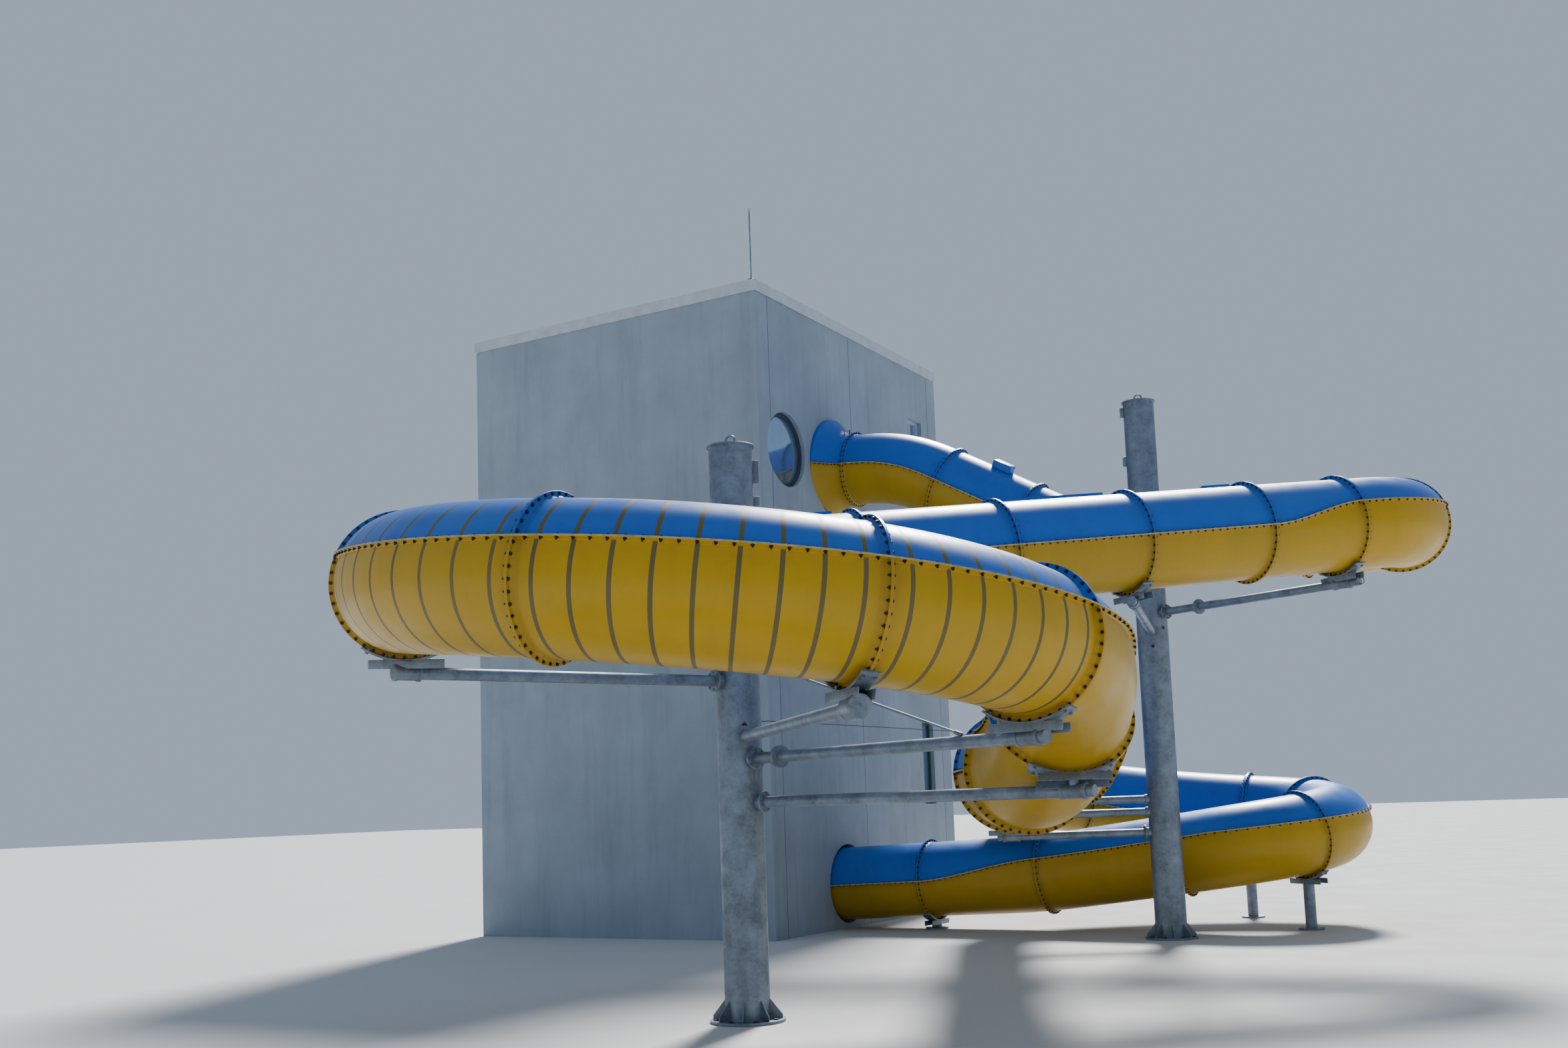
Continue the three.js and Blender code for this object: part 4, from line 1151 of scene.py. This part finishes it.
class SLIDE_OT_columns(bpy.types.Operator):
    """Pipe columns with cap plate, lifting eye, base plate, gussets and anchor bolts"""

    bl_idname = "slide.columns"
    bl_label = "Columns"

    def execute(self, context):
        radius = context.scene.slide_steel.column_radius
        for name, (_, _, height) in COLUMNS.items():
            bm = bmesh.new()
            foot = Matrix.Translation(on_axis(name, -PIT_DEPTH))
            top = height + PIT_DEPTH
            spun(bm, foot, column_profile(radius, top), steps=56)
            crown = foot @ moved_by(0.0, 0.0, top + EYE_RADIUS)
            torus(bm, crown @ Matrix.Rotation(math.radians(90), 4, "X"), EYE_RADIUS, EYE_WIRE)
            add_gussets(bm, foot, radius)
            for heading, low, high in COLUMN_PLATES[name]:
                out = moved_by(radius + COLUMN_PLATE_OUT, 0.0, (low + high) / 2 + PIT_DEPTH)
                size = (COLUMN_PLATE_DEPTH, COLUMN_PLATE_THICKNESS, high - low)
                soft_box(bm, foot @ turned(heading) @ out, size, 0.005)
            holes = []
            for heading, level in COLUMN_HOLES[name]:
                out = outward(math.radians(heading))
                point = foot @ (out * (radius - HOLE_SINK) + UP * (level + PIT_DEPTH))
                holes.append((point, out))
                rim = axis_place(point + out * HOLE_SINK, out)
                torus(bm, rim, HOLE_RADIUS + HOLE_SINK, HOLE_RIM_WIRE)
            finished_steel(name, bm)
            bm = bmesh.new()
            for point, out in holes:
                bar(bm, point, point + out * HOLE_PLUG, HOLE_RADIUS, 24, 0.001)
            finished_fittings(f"{name}_cable_holes", bm)
            bm = bmesh.new()
            anchors = bolt_ring(foot @ moved_by(0.0, 0.0, BASE_THICKNESS), ANCHOR_CIRCLE, GUSSETS, 0.0)
            add_bolts(bm, anchors, 0.0, head=ANCHOR_HEAD, washer=ANCHOR_WASHER)
            cut_away(bm, (0.0, 0.0, ANCHOR_CUT_HEIGHT), UP)
            finished_fittings(f"{name}_anchor_bolts", bm)
        return {"FINISHED"}


def ring_centre_place(station):
    """Level frame of a ring flange, at the middle of its thickness."""
    first = any(station == stations[0] for _, stations in RUNS.values())
    half = bpy.context.scene.slide_tube.ring_thickness / 2
    return tube_place(station + (half if first else 0.0))


def lowest_point(station, radius):
    """Lowest point of a ring flange."""
    return ring_centre_place(station) @ Vector((0.0, -radius, 0.0))


def add_saddle(bm, steel, tube, station):
    """Curved saddle plate under a ring flange, with straight side plates and bolts."""
    place = ring_centre_place(station)
    low = tube.flange_radius + SADDLE_ROOM
    high = tube.flange_radius + steel.saddle_thickness
    half = steel.saddle_half_width
    section = [
        (low, -half),
        (high - SADDLE_EDGE, -half),
        (high, SADDLE_EDGE - half),
        (high, half - SADDLE_EDGE),
        (high - SADDLE_EDGE, half),
        (low, half),
    ]
    down = -math.pi / 2
    spun(bm, place, section, down - SADDLE_HALF_ANGLE, 2 * SADDLE_HALF_ANGLE, 20)
    bolts = []
    for hand in (-1, 1):
        out = moved_by(0.0, -low - SADDLE_PLATE_DEPTH / 2, hand * (half - SADDLE_PLATE / 2))
        soft_box(bm, place @ out, (SADDLE_PLATE_LENGTH, SADDLE_PLATE_DEPTH, SADDLE_PLATE), 0.003)
        for share in SADDLE_BOLT_SHARES:
            turn = Matrix.Rotation(down + hand * share * SADDLE_HALF_ANGLE, 4, "Z")
            for along in (-SADDLE_BOLT_ALONG, SADDLE_BOLT_ALONG):
                bolts.append(place @ turn @ moved_by(high - SADDLE_BOLT_SINK, 0.0, along) @ RING_TURN)
    return bolts


def pipe_flange(bm, start, direction, radius, thickness):
    """A round plate on an arm. Gives the places of its bolts."""
    end = start + direction * thickness
    bar(bm, start, end, radius, 36, 0.002)
    return bolt_ring(axis_place((start + end) / 2, direction), 0.8 * radius, PIPE_BOLTS)


def arm_line(tube, name):
    """An arm's start on the column's axis, its end under the ring flange, and the flange above."""
    column, station, height, _ = ARMS[name]
    root = on_axis(column, height)
    low = lowest_point(station, tube.flange_radius)
    return root, Vector((low.x, low.y, root.z)), low


def add_arm(bm, steel, name, root, seat):
    """An arm with its root collar, plates, sleeve and end fittings. Gives its plates' bolts."""
    beyond = ARMS[name][3]
    reach = (seat - root).length
    direction = (seat - root).normalized()
    skin = steel.column_radius

    def piece(start, end, radius, steps=32, edge=0.003):
        """A round piece along the arm."""
        bar(bm, root + direction * start, root + direction * end, radius, steps, edge)

    def plate(start, thickness):
        """A round plate on the arm."""
        return pipe_flange(bm, root + direction * start, direction, steel.plate_radius, thickness)

    collar_end = skin + ROOT_COLLAR_LENGTH
    piece(skin - ROOT_SINK, reach + beyond, steel.arm_radius)
    piece(skin - ROOT_SINK, collar_end, steel.arm_radius + ROOT_COLLAR_EXTRA, edge=0.006)
    bolts = [(place, ROOT_PLATE) for place in plate(collar_end, ROOT_PLATE)]
    piece(reach - SLEEVE_HALF, reach + SLEEVE_HALF, steel.sleeve_radius)
    for side in (-1, 1):
        middle = reach + side * (SLEEVE_HALF - BAND_INSET)
        piece(middle - BAND_HALF, middle + BAND_HALF, steel.sleeve_radius + BAND_EXTRA)
    if name == ARM_WITH_DRUM:
        piece(reach + beyond - DRUM_LENGTH, reach + beyond, DRUM_RADIUS, 36, 0.006)
    if name in ARM_JOINTS:
        joint = ARM_JOINTS[name]
        bolts += [(place, JOINT_PLATE) for place in plate(joint, JOINT_PLATE)]
        plate(joint + JOINT_PITCH, JOINT_PLATE)
    if name == ARM_WITH_RING:
        tip = root + direction * (reach + beyond + TIP_RING_OUT)
        torus(bm, placed_axes(direction, UP, direction.cross(UP), tip), *TIP_RING)
    return bolts


def add_stem(bm, steel, seat, low):
    """The stem from an arm up to a saddle, with a nut and a ring where it is long."""
    top = low - UP * STEM_ROOM
    bar(bm, seat, top, steel.stem_radius)
    if (top - seat).length > STEM_LONG:
        wide = steel.stem_radius + STEM_EXTRA
        bar(bm, top - UP * STEM_NUT[0], top - UP * STEM_NUT[1], wide, 6)
        bar(bm, seat + UP * STEM_RING[0], seat + UP * STEM_RING[1], wide)


class SLIDE_OT_support_arms(bpy.types.Operator):
    """Arms from the columns to the saddles under the ring flanges"""

    bl_idname = "slide.support_arms"
    bl_label = "Support arms"

    def execute(self, context):
        tube, steel = context.scene.slide_tube, context.scene.slide_steel
        for name in ARMS:
            bm = bmesh.new()
            root, seat, low = arm_line(tube, name)
            flange_bolts = add_arm(bm, steel, name, root, seat)
            add_stem(bm, steel, seat, low)
            saddle_bolts = add_saddle(bm, steel, tube, ARMS[name][1])
            add_bolts(bm, saddle_bolts, **SADDLE_BOLT)
            for place, thickness in flange_bolts:
                grip = 2 * thickness if name in ARM_JOINTS else thickness
                add_bolts(bm, [place], grip, head=0.011, washer=0.014)
            finished_steel(name, bm)
        return {"FINISHED"}


def add_strut(bm, tube, steel, station, height):
    """A level strut from column 2 to the side of a ring flange."""
    root = on_axis("column_2", height)
    ring = ring_centre_place(station).translation
    direction = (Vector((ring.x, ring.y, root.z)) - root).normalized()
    drop = ring.z - root.z
    end = math.hypot(ring.x - root.x, ring.y - root.y) - math.sqrt(tube.flange_radius ** 2 - drop ** 2)
    skin = steel.column_radius
    pieces = [
        (skin - ROOT_SINK, end - STRUT_END, steel.arm_radius, 0.003),
        (skin - ROOT_SINK, skin + STRUT_COLLAR_LENGTH, STRUT_COLLAR_RADIUS, 0.006),
        (end - STRUT_SHOE[0], end - STRUT_SHOE[1], steel.sleeve_radius, 0.003),
    ]
    for start, stop, radius, edge in pieces:
        bar(bm, root + direction * start, root + direction * stop, radius, 32, edge)


class SLIDE_OT_struts_and_posts(bpy.types.Operator):
    """Side struts, low posts and the saddle under the outlet run"""

    bl_idname = "slide.struts_and_posts"
    bl_label = "Struts and posts"

    def execute(self, context):
        tube, steel = context.scene.slide_tube, context.scene.slide_steel
        for name, (station, height) in STRUTS.items():
            bm = bmesh.new()
            add_strut(bm, tube, steel, station, height)
            finished_steel(name, bm)
        for name, station in POSTS.items():
            bm = bmesh.new()
            low = lowest_point(station, tube.flange_radius)
            foot = Vector((low.x, low.y, 0.0))
            if low.z > LOWEST_POST:
                bar(bm, foot, low - UP * POST_ROOM, POST_RADIUS, 36)
                bar(bm, foot, foot + UP * BASE_THICKNESS, POST_PLATE_RADIUS, 40)
            add_bolts(bm, add_saddle(bm, steel, tube, station), **SADDLE_BOLT)
            finished_steel(name, bm)
        return {"FINISHED"}


def add_tie(bm, start, end):
    """A tie rod with eyes at its ends and an open turnbuckle in the middle."""
    direction = (end - start).normalized()
    middle = (start + end) / 2
    bar(bm, start, end, TIE_RADIUS, 16, 0.001)
    side = direction.cross(UP).normalized()
    reach = direction * BUCKLE_HALF
    nut = direction * BUCKLE_NUT_HALF
    for hand in (-1, 1):
        centre = middle + side * (BUCKLE_OFFSET * hand)
        bar(bm, centre - reach, centre + reach, BUCKLE_WIRE, 10, 0.001)
        tip = middle + reach * hand
        bar(bm, tip - nut, tip + nut, BUCKLE_NUT_RADIUS, 12)
    for point, hand in ((start, 1), (end, -1)):
        lug = point + direction * (hand * TIE_EYE_START)
        bar(bm, lug, lug + direction * (hand * TIE_EYE_LENGTH), TIE_EYE_RADIUS, 12)


class SLIDE_OT_tie_rods(bpy.types.Operator):
    """Tie rods with turnbuckles at both columns"""

    bl_idname = "slide.tie_rods"
    bl_label = "Tie rods"

    def execute(self, context):
        tube, steel = context.scene.slide_tube, context.scene.slide_steel
        root, seat, _ = arm_line(tube, "column_1_arm_right")
        arm_point = root.lerp(seat, TIE_1_SHARE)
        crown = ring_centre_place(TIE_2_STATION) @ Vector((0.0, tube.flange_radius, 0.0))
        # Height on the column, the point that the rod runs to, and how far above it the rod ends
        ties = {
            "column_1": (TIE_1_HEIGHT, arm_point, steel.arm_radius),
            "column_2": (TIE_2_HEIGHT, crown, 0.0),
        }
        for column, (height, point, rise) in ties.items():
            top = on_axis(column, height)
            fall = (point - top).normalized()
            start = top + fall * (steel.column_radius / math.hypot(fall.x, fall.y))
            bm = bmesh.new()
            add_tie(bm, start, point - fall * (rise / abs(fall.z)))
            finished_steel(f"{column}_tie_rod", bm, "bar")
        return {"FINISHED"}


NODE_FINISHES = {
    "tower_right_wall_front": "concrete",
    "tower_right_wall_back": "concrete",
    "tower_front_wall": "plain_concrete",
    "tower_back_wall": "plain_concrete",
    "tower_left_wall": "plain_concrete",
    "ground_floor": "plain_concrete",
    "start_platform_floor": "plain_concrete",
    "roof_slab": "plain_concrete",
    "parapet_flashing": "aluminium",
    "porthole_frame": "dark_frame",
    "porthole_glass": "glass",
    "small_window_frame": "aluminium",
    "small_window_glass": "glass",
    "narrow_window_frame": "green_frame",
    "narrow_window_glass": "glass",
}


class SLIDE_OT_tower_finishes(bpy.types.Operator):
    """Concrete, flashing, frame and glass finishes of the tower, and the lightning rod"""

    bl_idname = "slide.tower_finishes"
    bl_label = "Tower finishes"

    def execute(self, context):
        for name, finish in NODE_FINISHES.items():
            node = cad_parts[name]
            node.data.materials.clear()
            node.data.materials.append(material(finish))
        low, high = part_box("lightning_rod")
        foot = moved_by((low.x + high.x) / 2, (low.y + high.y) / 2, low.z)
        height = high.z - low.z
        # Clamp foot, shoulder, rod and tapered tip, as (radius, height)
        profile = [
            (0.0, 0.0),
            (0.056, 0.0),
            (0.059, 0.003),
            (0.059, 0.05),
            (0.05, 0.059),
            (0.016, 0.06),
            (0.0115, 0.066),
            (0.0115, height - 0.12),
            (0.004, height - 0.008),
            (0.0, height),
        ]
        bm = bmesh.new()
        spun(bm, foot, profile, steps=20)
        finished_steel("lightning_rod", bm, "bar")
        return {"FINISHED"}


class SLIDE_OT_stage(bpy.types.Operator):
    """Camera at the photograph's viewing angle, pale floor, sky and soft sun"""

    bl_idname = "slide.stage"
    bl_label = "Stage"

    def execute(self, context):
        scene = context.scene
        stage = scene.slide_stage
        level = outward(stage.heading)
        right = level.cross(UP)
        forward = level * math.cos(stage.pitch) + UP * math.sin(stage.pitch)
        camera_up = UP * math.cos(stage.pitch) - level * math.sin(stage.pitch)
        rolled_right = right * math.cos(stage.roll) + camera_up * math.sin(stage.roll)
        rolled_up = camera_up * math.cos(stage.roll) - right * math.sin(stage.roll)
        camera_data = bpy.data.cameras.new("photo_camera")
        camera_data.lens = stage.lens
        camera_data.sensor_width = SENSOR_WIDTH
        camera_data.shift_x = stage.shift_x
        camera_data.shift_y = stage.shift_y
        camera_data.clip_end = VIEW_REACH
        camera = bpy.data.objects.new("photo_camera", camera_data)
        camera.matrix_world = placed_axes(rolled_right, rolled_up, -forward, Vector(stage.eye) + SHIFT)
        scene.collection.objects.link(camera)
        scene.camera = camera

        bm = bmesh.new()
        bmesh.ops.create_grid(bm, x_segments=1, y_segments=1, size=stage.floor_size / 2)
        mesh = bpy.data.meshes.new("stage_floor")
        bm.to_mesh(mesh)
        bm.free()
        floor = bpy.data.objects.new("stage_floor", mesh)
        mesh.materials.append(rough_coat("pale_floor", stage.floor, 0.4, 0.85, 0.02))
        scene.collection.objects.link(floor)

        world = bpy.data.worlds.new("pale_sky")
        world.use_nodes = True
        background = world.node_tree.nodes["Background"]
        background.inputs["Color"].default_value = (*stage.sky, 1.0)
        background.inputs["Strength"].default_value = stage.sky_strength
        scene.world = world

        sun_data = bpy.data.lights.new("soft_sun", "SUN")
        sun_data.energy = stage.sun_strength
        sun_data.angle = SUN_ANGLE
        sun_data.color = SUN_COLOUR
        sun = bpy.data.objects.new("soft_sun", sun_data)
        flat = outward(stage.sun_heading)
        rays = -(flat * math.cos(stage.sun_height) + UP * math.sin(stage.sun_height))
        sun.rotation_euler = rays.to_track_quat("-Z", "Y").to_euler()
        scene.collection.objects.link(sun)
        return {"FINISHED"}


OPERATORS = [
    SLIDE_OT_stage,
    SLIDE_OT_tower_finishes,
    SLIDE_OT_tube_shells,
    SLIDE_OT_tube_bolts,
    SLIDE_OT_start_collar,
    SLIDE_OT_crown_fittings,
    SLIDE_OT_columns,
    SLIDE_OT_support_arms,
    SLIDE_OT_struts_and_posts,
    SLIDE_OT_tie_rods,
]
SETTINGS = {
    "slide_tube": TubeSettings,
    "slide_steel": SteelSettings,
    "slide_tower": TowerSettings,
    "slide_stage": StageSettings,
}


class SLIDE_PT_panel(bpy.types.Panel):
    """Lists the steps that build the dressed tower"""

    bl_idname = "SLIDE_PT_panel"
    bl_label = "Slide tower"
    bl_space_type = "VIEW_3D"
    bl_region_type = "UI"
    bl_category = "Slide tower"

    def draw(self, context):
        for operator in OPERATORS:
            self.layout.operator(operator.bl_idname)
        for key, group in SETTINGS.items():
            box = self.layout.box()
            for prop in group.__annotations__:
                box.prop(getattr(context.scene, key), prop)


def register():
    """Registers the settings, operators and panel."""
    for key, group in SETTINGS.items():
        bpy.utils.register_class(group)
        setattr(bpy.types.Scene, key, PointerProperty(type=group))
    for operator in OPERATORS:
        bpy.utils.register_class(operator)
    bpy.utils.register_class(SLIDE_PT_panel)


def unregister():
    """Takes the panel, operators and settings out again."""
    bpy.utils.unregister_class(SLIDE_PT_panel)
    for operator in reversed(OPERATORS):
        bpy.utils.unregister_class(operator)
    for key, group in SETTINGS.items():
        delattr(bpy.types.Scene, key)
        bpy.utils.unregister_class(group)


def main():
    """Builds everything in order."""
    register()
    bpy.ops.slide.stage()
    bpy.ops.slide.tower_finishes()
    bpy.ops.slide.tube_shells()
    bpy.ops.slide.tube_bolts()
    bpy.ops.slide.start_collar()
    bpy.ops.slide.crown_fittings()
    bpy.ops.slide.columns()
    bpy.ops.slide.support_arms()
    bpy.ops.slide.struts_and_posts()
    bpy.ops.slide.tie_rods()


if __name__ == "__main__":
    main()
